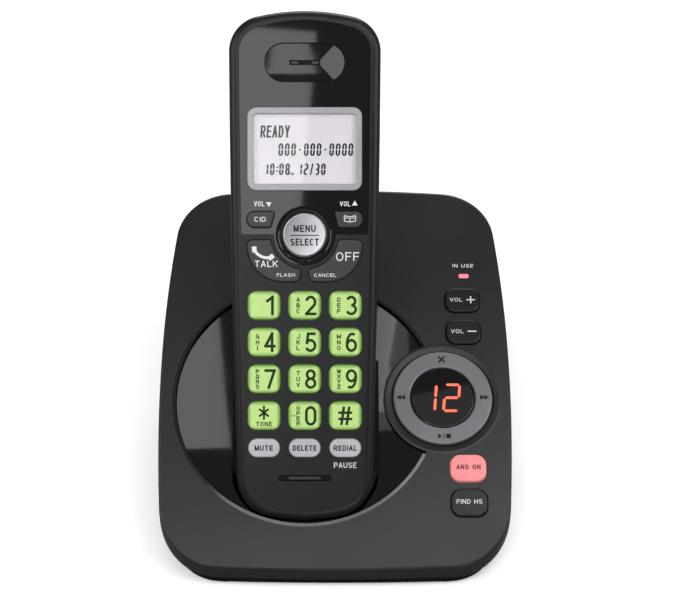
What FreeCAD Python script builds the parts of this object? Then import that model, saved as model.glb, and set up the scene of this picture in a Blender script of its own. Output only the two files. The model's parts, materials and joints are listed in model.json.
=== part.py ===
"""Cordless telephone with an answering machine in its base: a wedge-shaped base with a sloping
crowned top, a round glossy dish with a pocket for the handset, a ring key round a message
counter, and a handset that leans in the pocket. Millimetres, +Z up, +Y to the back, and the
origin under the middle of the whole object, on the surface that it stands on."""

import FreeCAD, Part
import math
import os

import Sketcher
from FreeCAD import Placement, Rotation, Vector

# Driving dimensions: alias, value in mm or degrees
SIZES = {
    # Base seen from above: half widths at the square corners, length, and how far each side bows
    "base_front_half": 55.3,
    "base_back_half": 53.4,
    "base_length": 129.3,
    "base_front_bow": 1.6,
    "base_back_bow": 2.9,
    "base_side_bow": 4.0,
    "base_corner": 19.0,
    # Crowned top: an arc that rises to the back
    "crown_radius": 650.0,
    "crown_front_slope": 29.4,
    "crown_front_height": 8.3,
    "slab_depth": 4.2,
    "plate_depth": 2.0,
    "top_round": 1.1,
    # Lower shell
    "lower_front_half": 50.0,
    "lower_back_half": 48.2,
    "lower_front_inset": 0.8,
    "lower_back_inset": 4.8,
    "lower_front_bow": 1.2,
    "lower_back_bow": 2.4,
    "lower_side_bow": 3.4,
    "lower_corner": 15.0,
    "lower_draft": 3.5,
    "lower_wall": 1.8,
    "floor_height": 1.0,
    "floor_thickness": 2.0,
    "seam": 0.05,
    # Feet and base screws
    "foot_diameter": 8.0,
    "foot_spread": 35.3,
    "foot_front": 5.9,
    "foot_back": 112.0,
    "foot_sink": 0.5,
    "boss_diameter": 6.4,
    "boss_front_spread": 30.0,
    "boss_back_spread": 41.0,
    "boss_front": 11.0,
    "boss_back": 104.0,
    "boss_bottom": 4.6,
    "pad_diameter": 8.4,
    "head_seat": 2.8,
    "screw_diameter": 2.6,
    "screw_hole": 2.9,
    "screw_head": 5.4,
    "screw_head_height": 1.6,
    "screw_length": 5.5,
    # Dish: its place on the crown is a sideways offset and a distance along the arc
    "dish_across": -9.7,
    "dish_along": 58.2,
    "dish_hole": 43.1,
    "dish_chamfer": 1.2,
    "dish_depth": 1.4,
    "dish_thickness": 1.6,
    "dish_gap": 0.2,
    # Control panel: the ring key and the window in its middle
    "panel_across": 35.7,
    "panel_along": 58.0,
    "ring_outer": 16.5,
    "ring_inner": 10.8,
    "ring_gap": 0.4,
    "ring_well": 18.6,
    "ring_well_depth": 2.2,
    "ring_island": 19.2,
    "ring_proud": 0.5,
    "ring_round": 0.6,
    "ring_thickness": 1.7,
    "ring_hole_depth": 2.9,
    "skirt_outer": 14.9,
    "skirt_wall": 1.3,
    "skirt_bottom": 4.6,
    "gimbal_inner": 11.9,
    "gimbal_outer": 13.1,
    "gimbal_thickness": 1.7,
    "gimbal_depth": 3.5,
    "nub_diameter": 1.1,
    "nub_gap": 0.08,
    "window_radius": 10.5,
    "window_thickness": 2.4,
    "window_proud": 0.1,
    "counter_width": 13.0,
    "counter_height": 9.6,
    "counter_top": 3.2,
    "collar_wall": 1.3,
    "collar_outer": 11.4,
    # Base keys
    "button_width": 11.8,
    "button_height": 9.2,
    "button_corner": 3.4,
    "button_gap": 0.25,
    "button_proud": 0.9,
    "button_lip": 0.8,
    "button_lip_thickness": 0.8,
    "button_play": 0.3,
    "button_stem": 3.6,
    "button_stem_length": 0.8,
    "button_round": 0.7,
    "button_across": 43.4,
    "volume_up_along": 94.2,
    "volume_down_along": 82.1,
    "answer_along": 33.3,
    "find_along": 21.7,
    "lamp_across": 44.3,
    "lamp_along": 104.0,
    "lamp_width": 3.4,
    "lamp_height": 1.6,
    "lamp_length": 5.0,
    "lamp_proud": 0.15,
    "panel_board_depth": 8.2,
    "panel_board_thickness": 1.2,
    "panel_board_front": 39.0,
    "panel_board_back": 48.5,
    "panel_board_width": 29.0,
    "panel_board_shift": -1.2,
    "switch_side": 4.6,
    "post_across": 11.0,
    "post_along": 37.0,
    "post_diameter": 5.0,
    "small_screw": 2.0,
    "switch_height": 2.6,
    "ring_switch_radius": 14.2,
    # Handset: how it stands in the pocket
    "lean": 40.0,
    "handset_across": -9.7,
    "handset_setback": 12.2,
    "handset_rise": 17.8,
    # Handset outline, seen face on
    "handset_length": 163.6,
    "handset_low_half": 21.5,
    "handset_high_half": 24.5,
    "handset_low_bow": 4.4,
    "handset_high_bow": 4.6,
    "handset_side_bow": 0.5,
    "handset_low_corner": 12.5,
    "handset_high_corner": 11.5,
    "front_thickness": 9.0,
    "handset_thickness": 26.5,
    "end_thickness": 14.0,
    "heel_length": 12.5,
    "head_thickness": 19.0,
    "head_start": 90.0,
    "front_round": 2.8,
    "back_round": 4.0,
    "handset_wall": 1.8,
    "front_plate": 2.0,
    "pocket_gap": 0.6,
    "pocket_half": 24.0,
    "pocket_bow": 0.3,
    "pocket_wall": 1.6,
    "tray_gap": 0.25,
    # Glossy faceplate on the upper half of the handset
    "faceplate_inset": 3.3,
    "faceplate_thickness": 1.0,
    "faceplate_foot": 91.6,
    "faceplate_lobe": 9.9,
    "faceplate_gap": 0.08,
    # Display
    "display_along": 119.0,
    "bezel_width": 36.7,
    "bezel_height": 26.7,
    "bezel_corner": 2.9,
    "bezel_proud": 0.35,
    "lens_thickness": 0.8,
    "glass_width": 32.8,
    "glass_height": 22.4,
    "lcd_thickness": 2.4,
    # Earpiece and microphone
    "ear_along": 146.7,
    "ear_width": 26.0,
    "ear_height": 12.6,
    "ear_depth": 0.6,
    "ear_slot_width": 10.2,
    "ear_slot_height": 1.8,
    "ear_speaker": 20.0,
    "ear_speaker_height": 4.0,
    "mic_along": 13.6,
    "mic_slot_width": 17.0,
    "mic_slot_height": 2.0,
    "mic_slot_depth": 0.8,
    "mic_hole": 1.4,
    "mic_hole_spread": 6.4,
    "mic_diameter": 6.0,
    "mic_height": 2.4,
    # Handset keys
    "key_pitch_across": 13.0,
    "key_pitch_along": 11.76,
    "key_first_row": 68.9,
    "key_width": 10.5,
    "key_height": 9.2,
    "key_corner": 3.0,
    "key_gap": 0.2,
    "key_proud": 0.7,
    "key_lip": 0.5,
    "key_lip_thickness": 0.8,
    "key_play": 0.3,
    "key_round": 0.6,
    "key_stem_inset": 0.7,
    "key_stem_length": 0.5,
    "pill_row": 23.3,
    "pill_width": 10.0,
    "pill_height": 5.9,
    "side_key_across": 13.95,
    "side_key_along": 96.4,
    "side_key_width": 9.2,
    "side_key_height": 5.3,
    "side_key_slant": 1.5,
    "menu_along": 91.5,
    "menu_diameter": 13.9,
    "menu_well": 17.6,
    "menu_well_depth": 0.9,
    "menu_proud": 0.4,
    "call_outer": 18.4,
    "call_top": 90.0,
    "call_low": 76.4,
    "call_inner": 1.3,
    "call_scoop": 11.0,
    "call_sweep": 11.3,
    # Inside the handset
    "mat_thickness": 1.1,
    "mat_top": 4.5,
    "mat_width": 37.0,
    "mat_low": 18.0,
    "mat_high": 99.0,
    "board_width": 38.0,
    "board_low": 9.0,
    "board_high": 135.0,
    "board_thickness": 1.2,
    "cell_diameter": 10.4,
    "cell_pitch": 10.2,
    "cell_length": 44.5,
    "cell_start": 20.5,
    "bay_half": 16.0,
    "bay_low": 18.0,
    "bay_high": 68.0,
    "bay_wall": 1.4,
    "bay_top": 14.0,
    "door_half": 17.4,
    "door_low": 16.0,
    "door_high": 96.0,
    "door_thickness": 1.5,
    "door_gap": 0.15,
    "door_travel": 8.0,
    "tongue": 0.7,
    "tongue_thickness": 0.6,
    "tongue_low": 22.0,
    "tongue_high": 78.0,
    "contact_diameter": 4.6,
    "contact_thickness": 0.9,
    "contact_spread": 12.0,
    "contact_along": 6.25,
    "pin_diameter": 2.4,
    "pin_reach": 0.12,
    "handset_screw_spread": 14.0,
    "handset_screw_along": 102.6,
    "boss_meet": 12.0,
    "handset_head_seat": 6.5,
    # Inside the base
    "board_main_half": 36.0,
    "board_main_front": 76.0,
    "board_main_back": 119.0,
    "board_main_height": 8.0,
    "board_main_thickness": 1.6,
    "speaker_radius": 15.5,
    "speaker_across": 32.0,
    "speaker_along": 52.0,
    "speaker_height": 8.0,
    "grille_slot_width": 1.6,
    "grille_pitch": 3.6,
    "line_jack_across": -22.0,
    "line_jack_width": 14.0,
    "line_jack_height": 12.0,
    "line_jack_length": 14.0,
    "line_socket_width": 9.8,
    "line_socket_height": 7.0,
    "line_socket_depth": 11.0,
    "power_jack_across": 18.0,
    "power_jack_side": 9.0,
    "power_jack_length": 12.0,
    "power_bore": 5.6,
    "power_pin": 2.0,
    "power_depth": 9.0,
    "jack_gap": 0.3,
    "origin_setback": 65.25,
}

doc = FreeCAD.newDocument("answering_machine")
sheet = doc.addObject("Spreadsheet::Sheet", "Sizes")
for row, (alias, number) in enumerate(SIZES.items(), start=1):
    sheet.set(f"A{row}", alias)
    sheet.set(f"B{row}", str(number))
    sheet.setAlias(f"B{row}", alias)
doc.recompute()


class Size:
    """A number together with the sheet formula that gives it, so that one sum makes both."""

    def __init__(self, number, text):
        self.number = float(number)
        self.text = text

    @staticmethod
    def of(other):
        return other if isinstance(other, Size) else Size(other, f"({other})")

    def joined(self, other, sign, number):
        return Size(number, f"({self.text} {sign} {Size.of(other).text})")

    def __add__(self, other):
        return self.joined(other, "+", self.number + Size.of(other).number)

    def __sub__(self, other):
        return self.joined(other, "-", self.number - Size.of(other).number)

    def __mul__(self, other):
        return self.joined(other, "*", self.number * Size.of(other).number)

    def __truediv__(self, other):
        return self.joined(other, "/", self.number / Size.of(other).number)

    def __radd__(self, other):
        return Size.of(other) + self

    def __rsub__(self, other):
        return Size.of(other) - self

    def __rmul__(self, other):
        return Size.of(other) * self

    def __neg__(self):
        return Size(-self.number, f"(0 - {self.text})")

    def root(self):
        return Size(math.sqrt(self.number), f"sqrt({self.text})")


class Cells:
    """S.key_width is the sheet's cell key_width as a Size."""

    def __getattr__(self, alias):
        return Size(sheet.get(alias), f"Sizes.{alias}")


S = Cells()
ZERO = Size(0, "0")
PIECES = []  # the objects that are written out, each under its Label


def bind(thing, prop, wanted):
    """Gives a property its number now and its formula for later."""
    wanted = Size.of(wanted)
    thing.setExpression(prop, wanted.text)


def piece(thing, label):
    """Names an object as a sub-part of the finished model."""
    thing.Label = label
    PIECES.append(thing)
    return thing


# Frames


def on_base(x=0, y=0, z=0):
    """A place in the base, y measured from the middle of its front edge."""
    return Placement(Vector(x, y - S.origin_setback.number, z), Rotation())


def crown_centre():
    """Height and distance back of the crown's axis, from the front edge."""
    slope = math.radians(S.crown_front_slope.number)
    back = S.crown_radius.number * math.sin(slope)
    up = S.crown_front_height.number - S.crown_radius.number * math.cos(slope)
    return back, up


def on_crown(across, along, depth=0.0):
    """A frame on the crown: Z out of the surface, Y up the slope, at an arc distance from the front."""
    slope = math.radians(S.crown_front_slope.number) - along / S.crown_radius.number
    back, up = crown_centre()
    reach = S.crown_radius.number - depth
    y = back - reach * math.sin(slope)
    z = up + reach * math.cos(slope)
    spot = Vector(across, y - S.origin_setback.number, z)
    return Placement(spot, Rotation(Vector(1, 0, 0), math.degrees(slope)))


def on_handset(x=0, y=0, z=0):
    """The handset's frame: Y along it from its foot, Z out of its face."""
    turn = Rotation(Vector(1, 0, 0), 90 - S.lean.number)
    foot = Vector(S.handset_across.number, S.handset_setback.number - S.origin_setback.number, S.handset_rise.number)
    return Placement(foot, turn) * Placement(Vector(x, y, z), Rotation())


# Bodies, sketches and features


def new_body(name, frame=None):
    body = doc.addObject("PartDesign::Body", name)
    if frame is not None:
        body.Placement = frame
    return body


def new_sketch(body, level=ZERO, across=ZERO, along=ZERO, plane="XY_Plane"):
    """An empty sketch on one of the body's own planes, moved by bound offsets."""
    sketch = body.newObject("Sketcher::SketchObject", body.Name + "_sketch")
    ground = next(o for o in body.Origin.OriginFeatures if o.Role == plane)
    sketch.AttachmentSupport = [(ground, "")]
    sketch.MapMode = "FlatFace"
    spot = [Size.of(across), Size.of(along), Size.of(level)]
    sketch.AttachmentOffset = Placement(Vector(*[s.number for s in spot]), Rotation())
    for axis, offset in zip("xyz", spot):
        bind(sketch, f"AttachmentOffset.Base.{axis}", offset)
    return sketch


def hold(sketch, kind, *where, to=None):
    """One constraint; a wanted Size is bound to the sheet."""
    if to is None:
        return sketch.addConstraint(Sketcher.Constraint(kind, *where))
    index = sketch.addConstraint(Sketcher.Constraint(kind, *where, Size.of(to).number))
    bind(sketch, f"Constraints[{index}]", to)
    return index


def line(a, b):
    return Part.LineSegment(Vector(*a, 0), Vector(*b, 0))


def draw_box(sketch, width, height, corner):
    """A rectangle with round corners, centred on the sketch's origin."""
    x, y, r = Size.of(width).number / 2, Size.of(height).number / 2, Size.of(corner).number
    corners = [(x - r, r - y, -90), (x - r, y - r, 0), (r - x, y - r, 90), (r - x, r - y, 180)]
    sides = [((r - x, -y), (x - r, -y)), ((x, r - y), (x, y - r)), ((x - r, y), (r - x, y)), ((-x, y - r), (-x, r - y))]
    for (cx, cy, start), (a, b) in zip(corners, sides):
        sketch.addGeometry(line(a, b))
        circle = Part.Circle(Vector(cx, cy, 0), Vector(0, 0, 1), r)
        sketch.addGeometry(Part.ArcOfCircle(circle, math.radians(start), math.radians(start + 90)))
    for i in range(8):
        hold(sketch, "Tangent", i, 2, (i + 1) % 8, 1)
    for i, kind in [(0, "Horizontal"), (2, "Vertical"), (4, "Horizontal"), (6, "Vertical")]:
        hold(sketch, kind, i)
    for i in (3, 5, 7):
        hold(sketch, "Equal", 1, i)
    hold(sketch, "Symmetric", 0, 1, 4, 1, -1, 1)
    hold(sketch, "DistanceX", 6, 1, 2, 1, to=width)
    hold(sketch, "DistanceY", 0, 1, 4, 1, to=height)
    hold(sketch, "Radius", 1, to=corner)


def draw_circle(sketch, diameter):
    sketch.addGeometry(Part.Circle(Vector(0, 0, 0), Vector(0, 0, 1), Size.of(diameter).number / 2))
    hold(sketch, "Coincident", 0, 3, -1, 1)
    hold(sketch, "Diameter", 0, to=diameter)


def draw_bowed(sketch, low_half, high_half, length, low_bow, high_bow, side_bow):
    """Four arcs that meet at square corners: the low arc's crest is at the sketch's origin."""
    a, b, run = low_half.number, high_half.number, length.number
    low, high, side = low_bow.number, high_bow.number, side_bow.number
    middle = (run + low - high) / 2
    tips = [(-a, low), (a, low), (b, run - high), (-b, run - high)]
    crests = [(0, 0), ((a + b) / 2 + side, middle), (0, run), (-(a + b) / 2 - side, middle)]
    for i in range(4):
        ends = [tips[i], crests[i], tips[(i + 1) % 4]]
        sketch.addGeometry(Part.Arc(*[Vector(*p, 0) for p in ends]))
    for i in range(4):
        hold(sketch, "Coincident", i, 2, (i + 1) % 4, 1)
    rise = length - high_bow - low_bow
    chord = (rise * rise + (high_half - low_half) * (high_half - low_half)).root()
    radii = [
        (low_half * low_half + low_bow * low_bow) / (2 * low_bow),
        (chord * chord / 4 + side_bow * side_bow) / (2 * side_bow),
        (high_half * high_half + high_bow * high_bow) / (2 * high_bow),
    ]
    for i, radius in enumerate(radii):
        hold(sketch, "Radius", i, to=radius)
    hold(sketch, "Equal", 1, 3)
    hold(sketch, "Symmetric", 0, 1, 0, 2, -2)
    hold(sketch, "Symmetric", 2, 1, 2, 2, -2)
    hold(sketch, "DistanceX", 0, 1, 0, 2, to=low_half * 2)
    hold(sketch, "DistanceX", 2, 2, 2, 1, to=high_half * 2)
    hold(sketch, "DistanceY", -1, 1, 0, 1, to=low_bow)
    hold(sketch, "DistanceY", -1, 1, 2, 2, to=length - high_bow)


def draw_loop(sketch, points):
    """A closed run of straight lines through points, each held by its two coordinates."""
    spots = [(Size.of(x), Size.of(y)) for x, y in points]
    plain = [(x.number, y.number) for x, y in spots]
    for i, spot in enumerate(plain):
        sketch.addGeometry(line(spot, plain[(i + 1) % len(plain)]))
    for i, (x, y) in enumerate(spots):
        hold(sketch, "Coincident", i, 2, (i + 1) % len(spots), 1)
        hold(sketch, "DistanceX", -1, 1, i, 1, to=x)
        hold(sketch, "DistanceY", -1, 1, i, 1, to=y)


def pad(body, sketch, length, draft=None, both_ways=False):
    feature = body.newObject("PartDesign::Pad", body.Name + "_pad")
    feature.Profile = sketch
    feature.Midplane = both_ways
    bind(feature, "Length", length)
    if draft is not None:
        bind(feature, "TaperAngle", draft)
    sketch.Visibility = False
    return feature


def pocket(body, sketch, depth, both_ways=False):
    feature = body.newObject("PartDesign::Pocket", body.Name + "_pocket")
    feature.Profile = sketch
    feature.Midplane = both_ways
    bind(feature, "Length", depth)
    return feature


def edges_where(shape, wanted):
    return [f"Edge{i}" for i, edge in enumerate(shape.Edges, start=1) if wanted(edge)]


def soften(body, radius, wanted, kind="PartDesign::Fillet"):
    """Rounds or chamfers the edges of the body's last feature that a test picks."""
    doc.recompute()
    base = body.Tip
    names = edges_where(base.Shape, wanted)
    if not names:
        raise ValueError(f"{body.Name}: no edge to soften")
    feature = body.newObject(kind, body.Name + "_soft")
    feature.Base = (base, names)
    bind(feature, "Radius" if kind.endswith("Fillet") else "Size", radius)
    return feature


def upright(edge):
    """A straight edge along the body's own Z."""
    box = edge.BoundBox
    return box.ZLength > 0.5 and box.XLength < 0.02 and box.YLength < 0.02


def at_level(level):
    return lambda edge: abs(edge.BoundBox.ZMin - level) < 0.01 and abs(edge.BoundBox.ZMax - level) < 0.01


def add_box(body, width, height, corner, bottom, top, across=ZERO, along=ZERO):
    sketch = new_sketch(body, bottom, across, along)
    draw_box(sketch, width, height, corner)
    return pad(body, sketch, Size.of(top) - bottom)


def cut_box(body, width, height, corner, top, bottom, across=ZERO, along=ZERO):
    sketch = new_sketch(body, top, across, along)
    draw_box(sketch, width, height, corner)
    return pocket(body, sketch, Size.of(top) - bottom)


def add_disc(body, diameter, bottom, top, across=ZERO, along=ZERO):
    sketch = new_sketch(body, bottom, across, along)
    draw_circle(sketch, diameter)
    return pad(body, sketch, Size.of(top) - bottom)


def cut_disc(body, diameter, top, bottom, across=ZERO, along=ZERO):
    sketch = new_sketch(body, top, across, along)
    draw_circle(sketch, diameter)
    return pocket(body, sketch, Size.of(top) - bottom)


# Primitives and booleans


def cylinder(name, radius, height, frame):
    thing = doc.addObject("Part::Cylinder", name)
    bind(thing, "Radius", radius)
    bind(thing, "Height", height)
    thing.Placement = frame
    return thing


def cone(name, low_radius, high_radius, height, frame):
    thing = doc.addObject("Part::Cone", name)
    bind(thing, "Radius1", low_radius)
    bind(thing, "Radius2", high_radius)
    bind(thing, "Height", height)
    thing.Placement = frame
    return thing


def block(name, width, depth, height, frame):
    """A box centred on its frame across X and Y, standing on it."""
    thing = doc.addObject("Part::Box", name)
    for prop, wanted in [("Length", width), ("Width", depth), ("Height", height)]:
        bind(thing, prop, wanted)
    half = Vector(-Size.of(width).number / 2, -Size.of(depth).number / 2, 0)
    thing.Placement = frame * Placement(half, Rotation())
    return thing


def boolean(kind, name, base, *tools):
    """Cut, fuse or common of whole objects."""
    if kind == "Cut" and len(tools) > 1:
        tools = [boolean("MultiFuse", name + "_tools", *tools)]
    thing = doc.addObject(f"Part::{kind}", name)
    if kind in ("MultiFuse", "MultiCommon"):
        thing.Shapes = [base, *tools]
    else:
        thing.Base, thing.Tool = base, tools[0]
    return thing


def together(name, things):
    """Several separate solids in one node."""
    thing = doc.addObject("Part::Compound", name)
    thing.Links = list(things)
    return thing


def moved(frame, x=0.0, y=0.0, z=0.0, turn=None):
    return frame * Placement(Vector(x, y, z), turn or Rotation())


ACROSS = Rotation(Vector(0, 1, 0), 90)  # turns a primitive's Z to X
BACKWARD = Rotation(Vector(1, 0, 0), -90)  # turns a primitive's Z to Y
REACH = 200.0  # longer than the object, for tools that cut right through


def crown(name, depth):
    """Everything under the crowned surface, or under one that lies a depth below it."""
    back, up = crown_centre()
    frame = on_base(-REACH / 2, back, up) * Placement(Vector(), ACROSS)
    return cylinder(name, S.crown_radius - depth, REACH, frame)


# Base


def base_outline():
    """The base's outer outline, extruded well past the crown."""
    body = new_body("slab_outline", on_base())
    sketch = new_sketch(body, ZERO)
    draw_bowed(
        sketch, S.base_front_half, S.base_back_half, S.base_length,
        S.base_front_bow, S.base_back_bow, S.base_side_bow,
    )
    pad(body, sketch, 90)
    soften(body, S.base_corner, upright)
    return body


def lower_form(name, inset, level):
    """The lower shell's drafted form, or its inside when it is inset by the wall."""
    body = new_body(name, on_base())
    sketch = new_sketch(body, level, along=S.lower_front_inset + inset)
    length = S.base_length - S.lower_front_inset - S.lower_back_inset - 2 * inset
    draw_bowed(
        sketch, S.lower_front_half - inset, S.lower_back_half - inset, length,
        S.lower_front_bow, S.lower_back_bow, S.lower_side_bow,
    )
    pad(body, sketch, 90, draft=S.lower_draft)
    soften(body, S.lower_corner - inset, lambda edge: edge.BoundBox.ZLength > 60)
    return body


def dish_frame():
    return on_crown(S.dish_across.number, S.dish_along.number)


def panel_frame(x=0, y=0, z=0):
    return moved(on_crown(S.panel_across.number, S.panel_along.number), x, y, z)


def button_frame(along):
    return on_crown(S.button_across.number, along.number)


def lamp_frame():
    return on_crown(S.lamp_across.number, S.lamp_along.number)


def above_crown(edge, slack=0.02):
    """Whether an edge lies on the crowned surface."""
    back, up = crown_centre()
    first, last = edge.ParameterRange
    for t in (0.0, 0.5, 1.0):
        spot = edge.valueAt(first + t * (last - first))
        reach = math.hypot(spot.y + S.origin_setback.number - back, spot.z - up)
        if abs(reach - S.crown_radius.number) > slack:
            return False
    return True


def boss_spots():
    front = [(side * S.boss_front_spread.number, S.boss_front.number) for side in (-1, 1)]
    back = [(side * S.boss_back_spread.number, S.boss_back.number) for side in (-1, 1)]
    return front + back


def upright_rods(name, radius, bottom, height, spots):
    """Cylinders that stand up from one level of the base, joined into one object."""
    rods = [
        cylinder(f"{name}_{i}", radius, height, on_base(x, y, Size.of(bottom).number))
        for i, (x, y) in enumerate(spots)
    ]
    return boolean("MultiFuse", name, *rods)


BUTTONS = {
    "volume_up_key": S.volume_up_along,
    "volume_down_key": S.volume_down_along,
    "answer_on_key": S.answer_along,
    "find_handset_key": S.find_along,
}


def base_top_housing():
    """The sloping slab: plate, rim, ledge for the dish, screw bosses, and holes for ring, keys and lamp."""
    slab = boolean("MultiCommon", "slab", base_outline(), crown("crown_top", ZERO))
    doc.recompute()
    rim = edges_where(slab.Shape, above_crown)
    soft = doc.addObject("Part::Fillet", "slab_soft")
    soft.Base = slab
    soft.Edges = [(int(name[4:]), S.top_round.number, S.top_round.number) for name in rim]
    hollow = boolean("MultiCommon", "slab_hollow", inner_form, crown("crown_plate", S.plate_depth))
    shell = boolean("Cut", "slab_shell", soft, hollow)

    ledge = cylinder("ledge", S.dish_hole + 1.8, 5.8, moved(dish_frame(), z=-6))
    wall = cylinder("ring_wall", S.ring_island, 5.8, panel_frame(z=-6.1))
    bosses = upright_rods("bosses", S.boss_diameter / 2, S.boss_bottom + S.seam, 90, boss_spots())
    posts = [
        cylinder(f"post_{i}", S.post_diameter / 2, S.panel_board_depth - S.plate_depth, panel_frame(x, y, -S.panel_board_depth.number))
        for i, (x, y) in enumerate(post_spots())
    ]
    inside = boolean(
        "Cut", "ledges",
        boolean("MultiCommon", "ledge_trim", boolean("MultiFuse", "ledge_set", ledge, wall), crown("crown_ledge", 1)),
        tray_block("tray_clearance", S.pocket_wall + S.tray_gap),
    )
    boss_set = boolean("MultiCommon", "boss_set", bosses, crown("crown_boss", 1))
    whole = boolean("MultiFuse", "housing_solid", shell, inside)
    under = crown("crown_slab", S.slab_depth)
    thin = boolean("Cut", "housing_thin", whole, under)
    posted = boolean("MultiFuse", "housing_posted", thin, boss_set, *posts)

    island = cylinder("island", S.ring_island, 24, panel_frame(z=-12))
    seat = cylinder("dish_seat", S.dish_hole, 20, moved(dish_frame(), z=-10))
    seat_open = boolean("Cut", "seat_open", seat, crown("crown_seat_floor", S.dish_depth + S.dish_thickness), island)
    scoop = cylinder("island_scoop", S.dish_hole, 20, moved(dish_frame(), z=-10))
    scoop_open = boolean("Cut", "scoop_open", scoop, crown("crown_scoop", S.dish_depth))
    through = cylinder("dish_through", S.dish_hole - 1.2, 24, moved(dish_frame(), z=-12))
    through_open = boolean("Cut", "through_open", through, cylinder("island_wide", S.ring_island + 0.6, 30, panel_frame(z=-15)))
    bevel = cone(
        "dish_bevel", S.dish_hole, S.dish_hole + S.dish_chamfer * 3, S.dish_chamfer * 3,
        moved(dish_frame(), z=-S.dish_chamfer.number),
    )
    bevel_open = boolean("Cut", "bevel_open", bevel, cylinder("island_bevel", S.ring_island, 26, panel_frame(z=-13)))
    ring_hole = cylinder("ring_hole", S.ring_outer + S.ring_gap, 16, panel_frame(z=-S.ring_hole_depth.number))
    skirt_hole = cylinder("skirt_hole", S.skirt_outer + S.ring_gap, 18, panel_frame(z=-9))
    well = cone(
        "ring_bevel", S.ring_outer + S.ring_gap, S.ring_well + (S.ring_well - S.ring_outer - S.ring_gap),
        S.ring_well_depth * 2, panel_frame(z=-S.ring_well_depth.number),
    )
    holes = []
    for name, along in BUTTONS.items():
        hole = new_body(name + "_hole", button_frame(along))
        add_box(
            hole, S.button_width + 2 * S.button_gap, S.button_height + 2 * S.button_gap,
            S.button_corner + S.button_gap, -8, 8,
        )
        holes.append(hole)
    lamp = new_body("lamp_hole", lamp_frame())
    add_box(lamp, S.lamp_width + 2 * S.seam, S.lamp_height + 2 * S.seam, S.lamp_height * 0.45, -8, 8)
    pilots = upright_rods("pilots", S.screw_hole / 2, ZERO, S.boss_bottom + S.screw_length, boss_spots())
    post_pilots = [
        cylinder(f"post_pilot_{i}", S.small_screw / 2 + S.seam, 6, panel_frame(x, y, -S.panel_board_depth.number - 1))
        for i, (x, y) in enumerate(post_spots())
    ]
    done = boolean(
        "Cut", "top_housing", posted, seat_open, scoop_open, through_open, bevel_open,
        ring_hole, skirt_hole, well, *holes, lamp, pilots, *post_pilots,
    )
    return piece(done, "base_top_housing")


def post_spots():
    """Where the panel's circuit board is screwed up, in the panel's frame."""
    return [(-S.post_across.number, side * S.post_along.number) for side in (-1, 1)]


def base_lower_housing():
    """The drafted tub under the slab, with a flat floor, screw pads, board supports and cut-outs."""
    under = S.slab_depth + S.seam
    tub = boolean("Cut", "tub", boolean("MultiCommon", "tub_solid", outer_form, crown("crown_tub", under)), inner_form)
    top = S.floor_height + S.floor_thickness
    pads = upright_rods("screw_pads", S.pad_diameter / 2, S.floor_height, S.boss_bottom - S.floor_height, boss_spots())
    stands = upright_rods("board_stands", 2.6, S.floor_height, S.board_main_height - S.floor_height, stand_spots())
    whole = boolean("MultiFuse", "tub_whole", tub, pads, stands)
    bores = upright_rods("screw_bores", S.screw_hole / 2, ZERO, 12, boss_spots())
    head_room = upright_rods("head_room", S.screw_head / 2 + 0.3, ZERO, S.head_seat, boss_spots())
    foot_seats = upright_rods("foot_seats", S.foot_diameter / 2, ZERO, S.floor_height + S.foot_sink, foot_spots())
    slots = []
    for i in range(5):
        reach = (i - 2) * S.grille_pitch.number
        length = 2 * math.sqrt(max(S.speaker_radius.number ** 2 - reach ** 2, 16.0)) - 8
        slots.append(block(
            f"grille_{i}", S.grille_slot_width, length, 8,
            on_base(S.speaker_across.number + reach, S.speaker_along.number, 0),
        ))
    line = block(
        "line_opening", S.line_jack_width + 2 * S.jack_gap, 30, S.line_jack_height + 2 * S.jack_gap,
        on_base(S.line_jack_across.number, S.base_length.number, jack_level() - S.jack_gap.number),
    )
    power = block(
        "power_opening", S.power_jack_side + 2 * S.jack_gap, 30, S.power_jack_side + 2 * S.jack_gap,
        on_base(S.power_jack_across.number, S.base_length.number, jack_level() - S.jack_gap.number),
    )
    done = boolean("Cut", "lower_housing", whole, bores, head_room, foot_seats, *slots, line, power)
    return piece(done, "base_lower_housing")


def jack_level():
    return S.board_main_height.number + S.board_main_thickness.number


def stand_spots():
    x = S.board_main_half.number - 6
    return [(side * x, y) for y in (S.board_main_front.number + 5, S.board_main_back.number - 14) for side in (-1, 1)]


def foot_spots():
    x = S.foot_spread.number
    return [(side * x, y) for y in (S.foot_front.number, S.foot_back.number) for side in (-1, 1)]


def base_feet_and_screws():
    feet = []
    for i, (x, y) in enumerate(foot_spots()):
        foot = new_body(f"foot_{i}", on_base(x, y, 0))
        add_disc(foot, S.foot_diameter - 2 * S.seam, ZERO, S.floor_height + S.foot_sink)
        soften(foot, 0.3, at_level(0))
        feet.append(foot)
    piece(together("feet", feet), "rubber_feet")
    screws = []
    for i, (x, y) in enumerate(boss_spots()):
        screws.append(screw(
            f"base_screw_{i}", on_base(x, y, S.head_seat.number), S.screw_head, S.screw_head_height,
            S.screw_diameter, S.screw_length + S.boss_bottom - S.head_seat - 0.4,
        ))
    piece(together("base_screw_set", screws), "base_screws")


def screw(name, frame, head, head_height, shank, length):
    """A pan-head screw: its head's under side is at the frame, its shank runs along +Z."""
    body = new_body(name, frame)
    add_disc(body, head, -head_height, ZERO)
    soften(body, head_height * 0.45, at_level(-Size.of(head_height).number))
    add_disc(body, shank, ZERO, length)
    cut_box(body, Size.of(head) * 0.6, Size.of(head) * 0.16, Size.of(head) * 0.05, -head_height + 0.6, -head_height)
    cut_box(body, Size.of(head) * 0.16, Size.of(head) * 0.6, Size.of(head) * 0.05, -head_height + 0.6, -head_height)
    return body


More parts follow.
